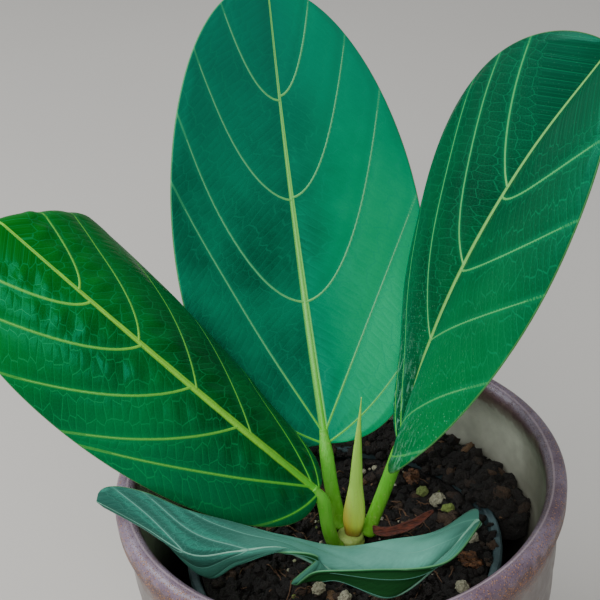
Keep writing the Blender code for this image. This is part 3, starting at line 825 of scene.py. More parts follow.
def vein_field(name, u, v):
    """For places on the flat leaf in mm: measures among the veins, and nearness to them."""
    length, half, shape = flat_size(name)
    x = u * length
    y = half * oval(u, shape) * np.abs(v)
    along, index, near = (np.zeros_like(x) for _ in range(3))
    for side, rules in VEINS[name].items():
        reach = np.stack([vein_reach(rule, y, length, half) for rule in rules])
        slope = np.stack([rule[1] + 2 * rule[2] * y / half for rule in rules])
        count = (x > reach).sum(0)
        low, high = np.clip(count - 1, 0, None), np.clip(count, None, len(rules) - 1)
        pick = lambda table, k: np.take_along_axis(table, k[None], 0)[0]
        below = np.where(count > 0, pick(reach, low), pick(reach, low) - END_GAP)
        above = np.where(count < len(rules), pick(reach, high), pick(reach, high) + END_GAP)
        share = np.clip((x - below) / np.maximum(above - below, 1.0), 0, 1)
        lean = np.array([min(MOST_LEAN, rule[1] + 0.6 * rule[2]) for rule in rules])[low]
        run = (x * lean + y) / np.sqrt(1 + lean**2)
        gap = (np.abs(x - reach) / np.sqrt(1 + slope**2)).min(0)
        here = (v > 0) == (side > 0)
        along = np.where(here, run, along)
        index = np.where(here, count + share + 20 * (side > 0), index)
        near = np.where(here, gap, near)
    edge = np.minimum(half * oval(u, shape) * (1 - np.abs(v)), np.minimum(u, 1 - u) * length * 1.5)
    return along, index, y, near, edge, x


# %% [markdown]
# Real blades are never smooth sheets. Between side veins the skin swells like a quilt, near the
# midrib it crimps, and over the whole leaf it undulates slightly. These heights are added along
# the surface normal, and the vein tubes follow the same surface.

# %% Surface with its relief
def raw_leaf(name, u, v):
    """Points of a leaf's middle sheet without relief."""
    return blade(BLADES[name], u, v) if name in BLADES else low_blade(u, v)


def leaf_normal(name, u, v):
    """Unit normals of the bare leaf sheet."""
    step = 0.004
    u, v = np.clip(u, 0.012, 0.988), np.clip(v, -0.985, 0.985)
    v = np.where(np.abs(v) < 1e-6, 1e-6, v)
    du = raw_leaf(name, u + step, v) - raw_leaf(name, u - step, v)
    dv = raw_leaf(name, u, v + step) - raw_leaf(name, u, v - step)
    n = np.cross(du, dv)
    return n / np.maximum(np.linalg.norm(n, axis=-1), 1e-12)[..., None]


QUILT_HEIGHT = 0.34          # all in mm
VEIN_VALLEY, MIDRIB_VALLEY = 2.6, 3.0
CRIMP = {"leaf_left": 0.5, "leaf_centre": 0.05, "leaf_right": 0.06, "leaf_front": 0.03}
CRIMP_STEP, CRIMP_AT, CRIMP_WIDTH = 7.5, 8, 5
WAVE_HEIGHT = 0.35
SETTLED = 0.15               # taken off, so that the whole relief stays about the middle
CALM_MARGIN = 4


def leaf_surface(name, u, v):
    """Places on the leaf's middle sheet with quilting, and the normals there."""
    run, index, y, near, edge, x = vein_field(name, u, v)
    calm = smooth(edge / CALM_MARGIN)
    quilt = QUILT_HEIGHT * (1 - np.exp(-(near / VEIN_VALLEY)**2))
    quilt = quilt * (1 - np.exp(-(y / MIDRIB_VALLEY)**2))
    crimp = CRIMP[name] * np.sin(2 * math.pi * run / CRIMP_STEP + 3 * np.floor(index))
    crimp = crimp * np.exp(-((y - CRIMP_AT) / CRIMP_WIDTH)**2) * np.sin(math.pi * (index % 1))**2
    wave = WAVE_HEIGHT * np.sin(x / 11 + 1.3) * np.sin(y / 9 + v)
    normal = leaf_normal(name, u, v)
    height = calm * (quilt + crimp + wave) - SETTLED
    return raw_leaf(name, u, v) + normal * height[..., None] * MM, normal


# %% Blade mesh
LEAF_THICK = 0.8             # in mm
ROUNDED_MARGIN = 0.9


def leaf_mesh(name, rows=190, half_cols=56):
    """Upper and lower skins that meet in a rounded margin, with the vein measures stored."""
    t = np.linspace(0, 1, rows + 1)
    u = 0.5 * t + 0.5 * (1 - np.cos(math.pi * t)) / 2
    w = 1 - (1 - np.linspace(0, 1, half_cols + 1))**1.25
    u, v = np.meshgrid(u, np.r_[-w[:0:-1], w], indexing="ij")
    middle, normal = leaf_surface(name, u, v)
    run, index, y, near, edge, _ = vein_field(name, u, v)
    inward = np.clip(edge / ROUNDED_MARGIN, 0, 1)
    half = LEAF_THICK / 2 * np.sqrt(np.clip(1 - (1 - inward)**2, 0, 1))
    lift = normal * half[..., None] * MM
    cols = v.shape[1]
    border = np.zeros(u.shape, bool)
    border[0], border[-1], border[:, 0], border[:, -1] = True, True, True, True
    upper = np.arange(u.size).reshape(u.shape)
    upper[0], upper[-1] = upper[0, 0], upper[-1, 0]
    lower = np.where(border, upper, upper + u.size)
    faces = []
    for table, turn in ((upper, 1), (lower, -1)):
        for i in range(rows):
            for j in range(cols - 1):
                ring = [table[i, j], table[i + 1, j], table[i + 1, j + 1], table[i, j + 1]][::turn]
                ring = [int(a) for n, a in enumerate(ring) if a != ring[n - 1]]
                if len(ring) > 2:
                    faces.append(ring)
    points = np.concatenate([(middle + lift).reshape(-1, 3), (middle - lift).reshape(-1, 3)])
    twice = lambda table: np.concatenate([table.reshape(-1), table.reshape(-1)])
    measures = {
        "net": np.stack([twice(run), twice(index), twice(v)], -1),
        "rib": np.stack([twice(y), twice(near), twice(edge)], -1),
        "along": twice(u),
        "top": np.r_[np.ones(u.size), np.zeros(u.size)],
    }
    return tidy_mesh(name, points, faces, measures)


for name in LEAF_TONES:
    settle(name + "_blade", leaf_mesh(name), leaf_finish(name), [name])

# %% [markdown]
# ## Vein tubes
# Midrib and side veins stand a little proud of the blade, more so underneath. Each is a line with
# a thickness stored at every point, and one Geometry Nodes tree sweeps a ring along all of them.
# A sweep is the right tool: the veins taper, branch often, and all follow the same rule.

# %% Geometry tree maker
def geometry_tree(name, inputs):
    """An empty geometry tree with named inputs, and its two ends."""
    tree = bpy.data.node_groups.new(name, "GeometryNodeTree")
    sockets = tree.interface
    sockets.new_socket("Geometry", in_out="INPUT", socket_type="NodeSocketGeometry")
    for label, kind, value in inputs:
        socket = sockets.new_socket(label, in_out="INPUT", socket_type="NodeSocket" + kind)
        if value is not None:
            socket.default_value = value
    sockets.new_socket("Geometry", in_out="OUTPUT", socket_type="NodeSocketGeometry")
    return tree, put(tree, "NodeGroupInput").outputs, put(tree, "NodeGroupOutput").inputs


def keep(tree, geometry, label, value):
    """A number stored on every point of a geometry."""
    return put(tree, "GeometryNodeStoreNamedAttribute", {
        "Geometry": geometry, "Name": label, "Value": value}, data_type="FLOAT").outputs[0]


def kept_number(tree, label):
    return put(tree, "GeometryNodeInputNamedAttribute", {"Name": label},
               data_type="FLOAT").outputs[0]


def grown(name, mesh, tree, **settings):
    """The mesh that a geometry tree makes from another mesh."""
    holder = bpy.data.objects.new(name, mesh)
    bpy.context.scene.collection.objects.link(holder)
    modifier = holder.modifiers.new("grow", "NODES")
    modifier.node_group = tree
    for item in tree.interface.items_tree:
        if item.in_out == "INPUT" and item.name in settings:
            modifier[item.identifier] = settings[item.name]
    graph = bpy.context.evaluated_depsgraph_get()
    made = bpy.data.meshes.new_from_object(holder.evaluated_get(graph))
    bpy.data.objects.remove(holder, do_unlink=True)
    made.name = name
    return made


def build_sweep():
    """A round tube along every line of a wire mesh."""
    tree, feed, out = geometry_tree("sweep", [("Sides", "Int", 8), ("Finish", "Material", None)])
    curve = put(tree, "GeometryNodeMeshToCurve", {0: feed["Geometry"]}).outputs[0]
    ring = put(tree, "GeometryNodeCurvePrimitiveCircle", {"Resolution": feed["Sides"],
                                                          "Radius": 1.0}).outputs[0]
    thick = kept_number(tree, "thick")
    kept = keep(tree, curve, "girth", thick)
    tube = put(tree, "GeometryNodeCurveToMesh", {"Curve": kept, "Profile Curve": ring,
                                                 "Scale": thick, "Fill Caps": True}).outputs[0]
    even = put(tree, "GeometryNodeSetShadeSmooth", {0: tube}).outputs[0]
    whole = put(tree, "GeometryNodeRealizeInstances", {0: even}).outputs[0]
    tree.links.new(put(tree, "GeometryNodeSetMaterial", {0: whole, "Material": feed["Finish"]})
                   .outputs[0], out["Geometry"])
    return tree


SWEEP = build_sweep()


def strands(name, lines):
    """A wire mesh of many lines, each with a radius in mm at every point."""
    points, edges, thick = [], [], []
    for line, radii in lines:
        first = len(points)
        points += [tuple(p) for p in line]
        edges += [(first + k, first + k + 1) for k in range(len(line) - 1)]
        thick += [r * MM for r in radii]
    mesh = bpy.data.meshes.new(name)
    mesh.from_pydata(points, edges, [])
    mesh.attributes.new("thick", "FLOAT", "POINT").data.foreach_set("value", thick)
    return mesh


# %% Vein lines on a leaf
MIDRIB_RADIUS, MIDRIB_END = 1.2, 0.2   # in mm
VEIN_RADII = (0.56, 0.42, 0.17)        # in mm at the midrib, just past it and at the end
VEIN_END = 0.9                         # share of the way to the margin
VEIN_PROUD = {1: 0.35, -1: 0.7}        # how far a vein stands out above and below
FEWEST_POINTS = 5


def vein_lines(name):
    """Midrib and side veins of one leaf, on both of its faces."""
    length, half, shape = flat_size(name)
    u = np.linspace(0.004, 0.985, 90)
    place, normal = leaf_surface(name, u, 0 * u + 1e-5)
    radii = MIDRIB_RADIUS * (1 - u)**0.9 + MIDRIB_END
    above, below = (0.36 - 0.62 * radii), -0.25 * radii
    lines = [(place + normal * above[:, None] * MM, radii * 0.86),
             (place + normal * below[:, None] * MM, radii * 0.95)]
    for half_sign, rules in VEINS[name].items():
        for rule in rules:
            y = np.linspace(0.3, half, 60)
            x = vein_reach(rule, y, length, half)
            inside = x / length < 0.97
            x, y = x[inside], y[inside]
            v = y / (half * oval(x / length, shape) + 1e-6)
            kept = v < VEIN_END
            x, y, v = x[kept], y[kept], v[kept]
            if len(x) < FEWEST_POINTS:
                continue
            place, normal = leaf_surface(name, x / length, v * half_sign)
            radii = np.interp(v, [0, 0.15, VEIN_END], VEIN_RADII)
            radii = radii * (0.6 if name == "leaf_front" else 1)
            for side, proud in VEIN_PROUD.items():
                off = side * (LEAF_THICK / 2 - radii * (1 - proud))
                lines.append((place + normal * off[:, None] * MM, radii))
    return lines


PETIOLE_TOP = tone(98, 204, 52)


def vein_finish(name):
    """Pale yellow green that turns to the petiole colour near the leaf's foot."""
    material, tree, shader = finish(name + "_vein", IOR=1.45)
    cloud = use(tree, MOTTLE, Place=coords(tree), Size=3 * MM, Contrast=0.25)["Cloud"]
    vein, rib = (tone(*LEAF_TONES[name][key]) for key in ("vein", "rib"))
    thick = stored(tree, "girth").outputs["Fac"]
    colour = layer(tree, zone(tree, thick, (0.3, 0.7)), rib, vein)
    colour = layer(tree, times(tree, cloud, 0.25), colour, rib)
    if name in BLADES:
        height = split(tree, coords(tree))[2]
        low = BLADES[name]["mid"][0][2] * MM
        near_foot = between(tree, height, low + 2 * MM, low + 30 * MM, 1.0, 0.0)
        colour = layer(tree, near_foot, colour, PETIOLE_TOP)
    surface(tree, shader, colour, between(tree, cloud, 0.0, 1.0, 0.36, 0.5), cloud, 0.1 * MM)
    return material


for name in LEAF_TONES:
    mesh = grown(name + "_veins", strands(name + "_lines", vein_lines(name)), SWEEP, Sides=8,
                 Finish=vein_finish(name))
    settle(name + "_veins", bpy.data.objects.new(name + "_veins", mesh), None)

# %% [markdown]
# ## Stem, petioles and bud
# All are rods whose radius changes along the way: a petiole swells at its foot and narrows into
# the midrib, the stem shows a ring where an older leaf fell, and the bud is a rolled sheath
# drawn out to a point, with the overlap as a seam.

# %% Petioles
PETIOLES = {
    "petiole_left": [(-2.8, -4.4, 97.5), (-4.4, -6.8, 107), (-5.4, -7.6, 119), (-8.2, -7.7, 125)],
    "petiole_centre": [(-0.6, 6.8, 96.5), (-2.6, 11, 109), (-3.5, 16.3, 119.5), (-4, 21, 125)],
    "petiole_right": [(7.9, 3.0, 96.5), (13.6, 4.2, 111), (18.9, 4.7, 126.2), (20, 4.6, 131.5)],
    "petiole_front": [(6.2, -7.8, 97.5), (17, -12, 99), (28, -13, 103), (36, -16, 110),
                      (39.5, -19.5, 116.5)],
}
PETIOLE_RADIUS = 2.3    # in mm


def petiole_radius(name):
    """The radius in mm of one petiole, swollen at its foot, with a shallow crease."""
    crease = len(name) % 3
    share = 0.8 if name == "petiole_front" else 1

    def radius(t, angle):
        swell = 0.7 * max(0, 1 - t / 0.12)**2
        size = share * (PETIOLE_RADIUS + swell - 0.85 * smooth((t - 0.6) / 0.4))
        return size * (1 - 0.06 * math.exp(-((math.cos(angle - crease) - 1) / 0.12)**2))

    return radius


petiole_skin = green_finish("petiole_skin", tone(98, 170, 28), PETIOLE_TOP)
for name, points in PETIOLES.items():
    mesh = loft(name, points, petiole_radius(name), attributes=True)
    settle(name + "_skin", mesh, petiole_skin, [name])

# %% Stem with its leaf scar
def stem_radius(t, angle):
    """The stem's radius in mm, with rings where leaves and scales fell."""
    ring = math.exp(-((t - 0.80) / 0.035)**2) + 0.5 * math.exp(-((t - 0.55) / 0.03)**2)
    close = math.sqrt(max(0.02, 1 - max(0, (t - 0.9) / 0.1)**2))
    return (4.45 + 0.35 * ring + 0.08 * math.sin(5 * angle)) * close


STEM_X, STEM_Y = 2.0, 0.5    # in mm
stem_skin = green_finish("stem_skin", tone(120, 104, 52), tone(150, 176, 84), low_end=0.3,
                         high_end=0.85)
stem_line = [(STEM_X, STEM_Y, z) for z in (80.6, 90, 99.2)]
settle("stem_skin", loft("stem", stem_line, stem_radius, attributes=True), stem_skin,
       ["stem"])

# %% Bud
def bud_radius(t, angle):
    """The bud's radius in mm, with a seam that winds up it."""
    size = 3.1 * (0.86 + 0.3 * math.sin(math.pi * min(1, t / 0.45)))
    taper = (1 - smooth((t - 0.12) / 0.95))**0.85
    seam = 0.10 * math.exp(-((math.cos(angle - 2.2 - 1.5 * t) - 1) / 0.06)**2)
    return max(0.12, size * taper * (1 + seam) * (0.9 + 0.1 * math.cos(2 * angle)))


BUD_BLUSH = (tone(206, 120, 50), 4.6 * MM)    # its colour, and the x that it fades at
bud_skin = green_finish("bud_skin", tone(214, 240, 84), tone(186, 244, 100), BUD_BLUSH,
                        high_end=0.5)
bud_line = [(3.2, 0.5, 98.8), (4.4, 0.5, 111.5), (6.4, 0.5, 133.5), (8.5, 0.5, 152)]
settle("bud_skin", loft("bud", bud_line, bud_radius, 90, 36, True), bud_skin,
       ["stipule_bud"])

# %% [markdown]
# When a new leaf opens, the scale that wrapped it dries and curls. Two such scales stay at the
# foot of the bud. They are thin cupped sheets, thickened by Solidify.

# %% Dry scales
def thin_piece(name, points, nodes):
    """A sheet of points with a thickness, as a dry scale."""
    piece = bpy.data.objects.new(name, skin(name, points))
    bpy.context.scene.collection.objects.link(piece)
    shell = piece.modifiers.new("thickness", "SOLIDIFY")
    shell.thickness = SCALE_THICK * MM
    shell.offset = 0
    graph = bpy.context.evaluated_depsgraph_get()
    mesh = bpy.data.meshes.new_from_object(piece.evaluated_get(graph))
    bpy.data.objects.remove(piece, do_unlink=True)
    settle(name, mesh, scale_skin, nodes)


def curled_scale(t, w):
    """A narrow strip that lies over the soil; t runs along it and w across."""
    line = through([(9.6, -4, 102), (15, -5, 102), (22, -3.5, 103), (29, -1, 106)], t)
    across = np.stack([-0.35 + 0 * t, 0.75 + 0 * t, 0.55 + 0 * t], -1)
    frill = 0.18 * np.sin(9 * t + 2 * w) * w**2 + 0.1 * np.sin(23 * t + w)
    cupped = np.stack([0 * t, 0 * t, 1.2 * w**2 + frill], -1)
    width = (1.7 - 1.1 * t**2) * np.sqrt(np.clip(1 - (2 * t - 1)**16, 0.02, 1))
    return (line + across * (w * width)[..., None] + cupped) * MM


def back_scale(t, w):
    """An upright strip that is part of a ring about the stem."""
    turn = np.radians(168 + 26 * w * (1 - 0.75 * t**2))
    reach = 6.6 + 1.0 * t + 0.12 * np.sin(11 * t + 3 * w)
    height = 97.8 + (12 - 3 * w**2) * t
    return np.stack([STEM_X + reach * np.cos(turn), STEM_Y + reach * np.sin(turn), height],
                    -1) * MM


SCALE_THICK = 0.35    # in mm
scale_skin = dry_finish("scale_skin", tone(58, 24, 18), tone(124, 64, 46))
t, w = np.meshgrid(np.linspace(0, 1, 60), np.linspace(-1, 1, 17), indexing="ij")
thin_piece("curled_scale", curled_scale(t, w), ["scale_curled"])
thin_piece("back_scale", back_scale(t, w), ["scale_back"])

# %% [markdown]
# ## Pots
# Both pots are turned shapes. The cover pot is thrown by hand, so its radius wavers by a few
# tenths of a millimetre in faint rings, and its glaze is thicker at the rim. The nursery pot's
# shape in the CAD model is already right, with its drain holes, so it stays and only gets its
# plastic finish.

# %% Cover pot
def arc(cx, cz, r, start, end, n):
    """Points on a circle in the section plane, angles in degrees."""
    a = np.radians(np.linspace(start, end, n + 1))
    return [(cx + r * math.cos(k), cz + r * math.sin(k)) for k in a]


def run_of(points, spacing=1.6):
    """Points added along a profile so no step is longer than the spacing."""
    out = [points[0]]
    for a, b in zip(points, points[1:]):
        count = max(1, math.ceil(math.dist(a, b) / spacing))
        out += [(a[0] + (b[0] - a[0]) * k / count, a[1] + (b[1] - a[1]) * k / count)
                for k in range(1, count + 1)]
    return out


POT_RADIUS, POT_HEIGHT, POT_FLOOR = 70, 125, 6    # in mm
RING_DEPTH, WAVER = 0.09, 0.16


def cover_profile():
    """The pot's section in mm, from the middle of its floor over the rim to its underside."""
    rim_r, inner_foot = 3.2, 54.2
    rim_x, rim_z = POT_RADIUS - rim_r, POT_HEIGHT - rim_r
    points = [(0, POT_FLOOR), (inner_foot - 6, POT_FLOOR)]
    points += arc(inner_foot - 6, POT_FLOOR + 6, 6, -90, 0, 12)[1:]
    points += [(rim_x - 2.4, rim_z - 8)]
    points += arc(rim_x, rim_z, rim_r, 180, 0, 28)
    points += arc(rim_x + 0.2, rim_z - 3.5, rim_r - 0.3, 0, -50, 10)
    points += [(POT_RADIUS - 2.2, rim_z - 12), (60.5, 12)]
    points += arc(56, 3, 3, 0, -90, 8)
    return run_of(points + [(0, 0)])


def cover_pot():
    """The turned pot with faint throwing rings and a slightly uneven radius."""
    profile = np.array(cover_profile())
    angle = np.linspace(0, 2 * math.pi, 224, endpoint=False)
    r, a = np.meshgrid(profile[:, 0], angle, indexing="ij")
    z = np.repeat(profile[:, 1:], len(angle), 1)
    rings = RING_DEPTH * np.sin(z / 1.9) * smooth((z - 8) / 8) * smooth((118 - z) / 8)
    waver = WAVER * (np.sin(2 * a + z / 40) + 0.5 * np.sin(5 * a + z / 17))
    r = np.where(r > 20, r + rings + waver * smooth(z / 10), r)
    return skin("cover_pot", np.stack([r * np.cos(a), r * np.sin(a), z], -1) * MM, wrap=True)


settle("cover_pot", cover_pot(), glaze_finish(), ["ceramic_pot"])
plastic = plastic_finish()
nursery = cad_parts["nursery_pot"]
for holder in nursery.material_slots:
    holder.material = plastic

# %% [markdown]
# ## Potting mix
# The mix is a dark lumpy bed with peat crumbs, white perlite, bark and fibres lying on it. The
# bed is a fine grid with the same lumps as the CAD soil. The loose grains are scattered over it
# by one Geometry Nodes tree: it drops points on the surface, puts a small ball on each, and then
# dents every ball differently, so no two grains are alike.

# %% Soil bed
SOIL_TOP, SOIL_RIM, SOIL_FLOOR, SOIL_FOOT = 92.5, 46.9, 7.8, 35.2    # in mm
SOIL_LUMP = 2.6


def soil_height(x, y):
    """Height of the bed in mm at a place in mm."""
    place = Vector((x, y, SOIL_TOP)) * MM
    reach = math.hypot(x, y) / 46.5
    lump = noise.fractal(place * 95, 0.9, 2.1, 4) + 0.5 * noise.noise(place * 330)
    fine = 0.45 * noise.noise(place * 900) + 0.2 * noise.noise(place * 2100)
    return SOIL_TOP + SOIL_LUMP * (lump * (1 - min(1, reach)**6)) + fine


def soil_bed(limit, closed, rings=96, steps=240):
    """The bed as an open disc, or closed down to the nursery pot's floor."""
    angle = np.linspace(0, 2 * math.pi, steps, endpoint=False)
    rows = []
    for r in np.linspace(0, limit, rings):
        rows.append([(r * math.cos(a), r * math.sin(a),
                      soil_height(r * math.cos(a), r * math.sin(a))) for a in angle])
    if closed:
        for k in range(1, 9):
            r = SOIL_RIM + (SOIL_FOOT - SOIL_RIM) * k / 8
            z = SOIL_TOP - 1 + (SOIL_FLOOR - SOIL_TOP + 1) * k / 8
            rows.append([(r * math.cos(a), r * math.sin(a), z) for a in angle])
        rows.append([(0, 0, SOIL_FLOOR)] * steps)
    return skin("soil_bed", np.array(rows) * MM, wrap=True)


peat = grain_finish("peat", tone(13, 11, 10), tone(40, 32, 28), tone(76, 58, 44), 0.1, 0.95)
settle("soil_bed", soil_bed(SOIL_RIM - 0.3, True), peat, ["soil"])

# %% Grain tree
def build_scatter():
    """Dented grains on random places of a mesh, or on its points."""
    tree, feed, out = geometry_tree("scatter", [
        ("On Points", "Bool", False), ("Density", "Float", 1e5), ("Seed", "Int", 1),
        ("Smallest", "Float", 0.0005), ("Largest", "Float", 0.002), ("Flatness", "Float", 0.7),
        ("Length", "Float", 1.2), ("Dents", "Float", 0.5), ("Sunk", "Float", 0.0),
        ("Bias", "Float", 2.5), ("Detail", "Int", 2), ("Finish", "Material", None)])
    strewn = put(tree, "GeometryNodeDistributePointsOnFaces", {
        "Mesh": feed["Geometry"], "Density": feed["Density"], "Seed": feed["Seed"]}).outputs[0]
    given = put(tree, "GeometryNodeMeshToPoints", {0: feed["Geometry"]}).outputs[0]
    points = put(tree, "GeometryNodeSwitch", {0: feed["On Points"], 1: strewn, 2: given},
                 input_type="GEOMETRY").outputs[0]
    pick = put(tree, "FunctionNodeRandomValue", {"Seed": feed["Seed"]}, data_type="FLOAT")
    biased = math_node(tree, "POWER", pick.outputs[1], feed["Bias"])
    span = math_node(tree, "SUBTRACT", feed["Largest"], feed["Smallest"])
    size = math_node(tree, "MULTIPLY_ADD", biased, span, feed["Smallest"])
    sized = keep(tree, points, "grain", size)
    shade = put(tree, "FunctionNodeRandomValue", {
        "Seed": math_node(tree, "ADD", feed["Seed"], 7.0)}, data_type="FLOAT").outputs[1]
    shaded = keep(tree, sized, "shade", shade)
    turn = put(tree, "FunctionNodeRandomValue", {0: (-0.5, -0.5, 0.0), 1: (0.5, 0.5, 6.28),
                                                 "Seed": feed["Seed"]}, data_type="FLOAT_VECTOR")
    shape = put(tree, "ShaderNodeCombineXYZ", {0: feed["Length"], 1: 1.0, 2: feed["Flatness"]})
    grain = kept_number(tree, "grain")
    scale = put(tree, "ShaderNodeVectorMath", {0: shape.outputs[0], "Scale": grain},
                operation="SCALE").outputs[0]
    ball = put(tree, "GeometryNodeMeshIcoSphere", {
        "Radius": 1.0, "Subdivisions": feed["Detail"]}).outputs[0]
    lumps = put(tree, "GeometryNodeInstanceOnPoints", {
        "Points": shaded, "Instance": ball, "Rotation": turn.outputs[0], "Scale": scale})
    whole = put(tree, "GeometryNodeRealizeInstances", {0: lumps.outputs[0]}).outputs[0]
    place = put(tree, "GeometryNodeInputPosition").outputs[0]
    wild = put(tree, "ShaderNodeTexNoise", {"Vector": place, "Scale": 700.0,
                                            "Detail": 3.0}).outputs["Color"]
    signed = put(tree, "ShaderNodeVectorMath", {0: wild, 1: (0.5, 0.5, 0.5)},
                 operation="SUBTRACT").outputs[0]
    depth = times(tree, feed["Dents"], times(tree, grain, 2.0))
    dent = put(tree, "ShaderNodeVectorMath", {0: signed, "Scale": depth}, operation="SCALE")
    drop = put(tree, "ShaderNodeCombineXYZ", {2: times(tree, grain, feed["Sunk"])}).outputs[0]
    offset = put(tree, "ShaderNodeVectorMath", {0: dent.outputs[0], 1: drop}, operation="ADD")
    dented = put(tree, "GeometryNodeSetPosition", {"Geometry": whole,
                                                   "Offset": offset.outputs[0]}).outputs[0]
    even = put(tree, "GeometryNodeSetShadeSmooth", {0: dented}).outputs[0]
    single = put(tree, "GeometryNodeRealizeInstances", {0: even}).outputs[0]
    done = put(tree, "GeometryNodeSetMaterial", {0: single, "Material": feed["Finish"]}).outputs[0]
    tree.links.new(done, out["Geometry"])
    return tree


SCATTER = build_scatter()

# %% Crumbs of peat and bark fines
def strew(name, ground, material, slot, nodes=(), **settings):
    """Grains over a ground mesh, or on its points, as one piece."""
    mesh = grown(name, ground, SCATTER, Finish=material, **settings)
    settle(name, bpy.data.objects.new(name, mesh), None, nodes)


CRUMB = {"Flatness": 0.85, "Length": 1.15, "Dents": 1.1, "Sunk": 0.1}
bed = soil_bed(44.0, False, 40, 90)
strew("peat_crumbs", bed, peat, "potting_mix", Density=2.6e5, Seed=3, Smallest=0.3 * MM,
      Largest=2.2 * MM, Flatness=0.8, Length=1.15, Dents=1.0, Sunk=0.1, Bias=2.6)
strew("peat_clods", bed, peat, "potting_mix", Density=9.0e3, Seed=14, Smallest=1.8 * MM,
      Largest=4.2 * MM, Flatness=0.8, Length=1.1, Dents=1.2, Sunk=-0.1, Bias=1.6, Detail=3)
fines = grain_finish("bark_fines", tone(26, 20, 16), tone(66, 49, 37), tone(114, 86, 60), 0.2,
                     0.9)
strew("bark_fines", bed, fines, "bark", Density=2.4e4, Seed=11, Smallest=0.4 * MM,
      Largest=1.8 * MM, Flatness=0.5, Length=1.8, Dents=0.9, Sunk=0.7, Bias=2.2)

# %% [markdown]
# At the back right the mix was heaped over the nursery pot's rim and has run down into the gap
# between the pots. The CAD model has that heap as one body. It gets the same skin of crumbs.

# %% Heap over the rim
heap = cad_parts["spilled_mix"]
for holder in heap.material_slots:
    holder.material = peat
heap_top = heap.data.copy()
work = bmesh.new()
work.from_mesh(heap_top)
bmesh.ops.delete(work, geom=[f for f in work.faces if f.calc_center_median().z < 94 * MM
                             or f.normal.z < 0.1], context="FACES")
work.to_mesh(heap_top)
work.free()
strew("heap_crumbs", heap_top, peat, "potting_mix", Density=4.2e5, Seed=31, Smallest=0.4 * MM,
      Largest=2.6 * MM, **CRUMB, Bias=2.0)
strew("heap_fines", heap_top, fines, "bark", Density=4.0e4, Seed=33, Smallest=0.4 * MM,
      Largest=1.8 * MM, Flatness=0.6, Length=1.7, Dents=0.9, Sunk=0.8, Bias=1.8)

# %% [markdown]
# Behind the stem the same mix dusts the nursery pot's rim and hides most of it.

# %% Crumbs on the rim
def rim_strip(start, stop, inset, steps=90):
    """A flat band on the rim between two turns, from 5.5 mm to `inset` mm inside its edge."""
    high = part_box("nursery_pot")[1]
    turn = np.radians(np.linspace(start, stop, steps))[:, None]
    reach = np.linspace(high[0] - 5.5 * MM, high[0] - inset * MM, 4)[None]
    flat = np.broadcast_to(high[2] - 0.3 * MM, (steps, 4))
    return skin("rim_strip", np.stack([reach * np.cos(turn), reach * np.sin(turn), flat], -1))


strew("rim_crumbs", rim_strip(60, 175, 0.6), peat, "potting_mix", Density=4.0e5, Seed=41,
      Smallest=0.4 * MM, Largest=2.4 * MM, **CRUMB, Bias=2.0)
strew("rim_crumbs_right", rim_strip(-70, 60, 2.7), peat, "potting_mix", Density=3.0e5, Seed=43,
      Smallest=0.3 * MM, Largest=1.6 * MM, **CRUMB, Bias=2.2)

# %% [markdown]
# Perlite is a puffed volcanic glass, chalky and cream white; a few grains have turned green with
# algae. The ten largest grains lie where the CAD model has them, and small ones are strewn. The
# same goes for the six bark chips.

# %% Perlite and bark chips
def points_of(nodes):
    """A mesh of bare points at the middles of CAD nodes."""
    mesh = bpy.data.meshes.new("places")
    places = [tuple((low + high) / 2) for low, high in (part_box(n) for n in nodes)]
    mesh.from_pydata(places, [], [])
    return mesh


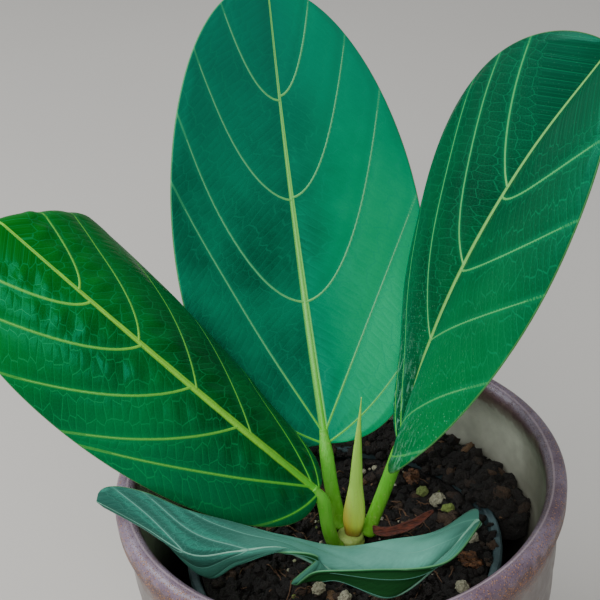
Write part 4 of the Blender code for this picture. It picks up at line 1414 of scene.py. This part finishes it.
perlite = grain_finish("perlite", tone(150, 146, 118), tone(214, 210, 188),
                       tone(128, 146, 72), 0.35, 0.95)
bark = dry_finish("bark", tone(54, 33, 22), tone(138, 92, 58), 0.0011)
grains = sorted(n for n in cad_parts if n.startswith("perlite"))
chips = sorted(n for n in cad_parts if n.startswith("bark"))
strew("perlite_grains", points_of(grains), perlite, "perlite", grains, **{"On Points": True},
      Seed=5, Smallest=1.5 * MM, Largest=2.4 * MM, Flatness=0.8, Length=1.1, Dents=0.5, Bias=1.0,
      Detail=5)
strew("perlite_small", bed, perlite, "perlite", Density=1.5e4, Seed=21, Smallest=0.3 * MM,
      Largest=1.3 * MM, Flatness=0.8, Length=1.1, Dents=0.7, Sunk=0.6, Bias=1.6)
strew("bark_chips", points_of(chips), bark, "bark", chips, **{"On Points": True},
      Seed=9, Smallest=2.2 * MM, Largest=3 * MM, Flatness=0.4, Length=1.5, Dents=0.9, Bias=1.0,
      Detail=4)

# %% [markdown]
# Fine roots and strips of coir lie in short arcs over the crumbs. They are swept like the veins.

# %% Fibres
BEND_POINTS = 12    # along one fibre


def fibre_lines(count, seed):
    """Short arcs over the bed, each with its radius at every point."""
    rng = np.random.default_rng(seed)
    lines = []
    for _ in range(count):
        r, a = 41 * math.sqrt(rng.uniform(0.03, 1)), rng.uniform(0, 2 * math.pi)
        heading, bend = rng.uniform(0, 2 * math.pi), rng.uniform(-0.12, 0.12)
        length, thick = rng.uniform(3, 10), rng.uniform(0.1, 0.3)
        x, y, line = r * math.cos(a), r * math.sin(a), []
        lift = rng.uniform(0.2, 1.8)
        for k in range(BEND_POINTS):
            s = k / (BEND_POINTS - 1)
            z = soil_height(x, y) + 0.9 + lift * math.sin(math.pi * s)
            line.append((x * MM, y * MM, z * MM))
            x += math.cos(heading) * length / (BEND_POINTS - 1)
            y += math.sin(heading) * length / (BEND_POINTS - 1)
            heading += bend
        if math.hypot(x, y) < 43:
            share = np.linspace(-1, 1, BEND_POINTS)
            lines.append((line, thick * (1 - 0.5 * np.abs(share))))
    return lines


coir = dry_finish("coir", tone(70, 46, 32), tone(132, 98, 68))
FIBRES, FIBRE_SEED = 150, 8
fibres = strands("fibre_lines", fibre_lines(FIBRES, FIBRE_SEED))
mesh = grown("fibres", fibres, SWEEP, Sides=6, Finish=coir)
settle("coir_fibres", bpy.data.objects.new("coir_fibres", mesh), None)
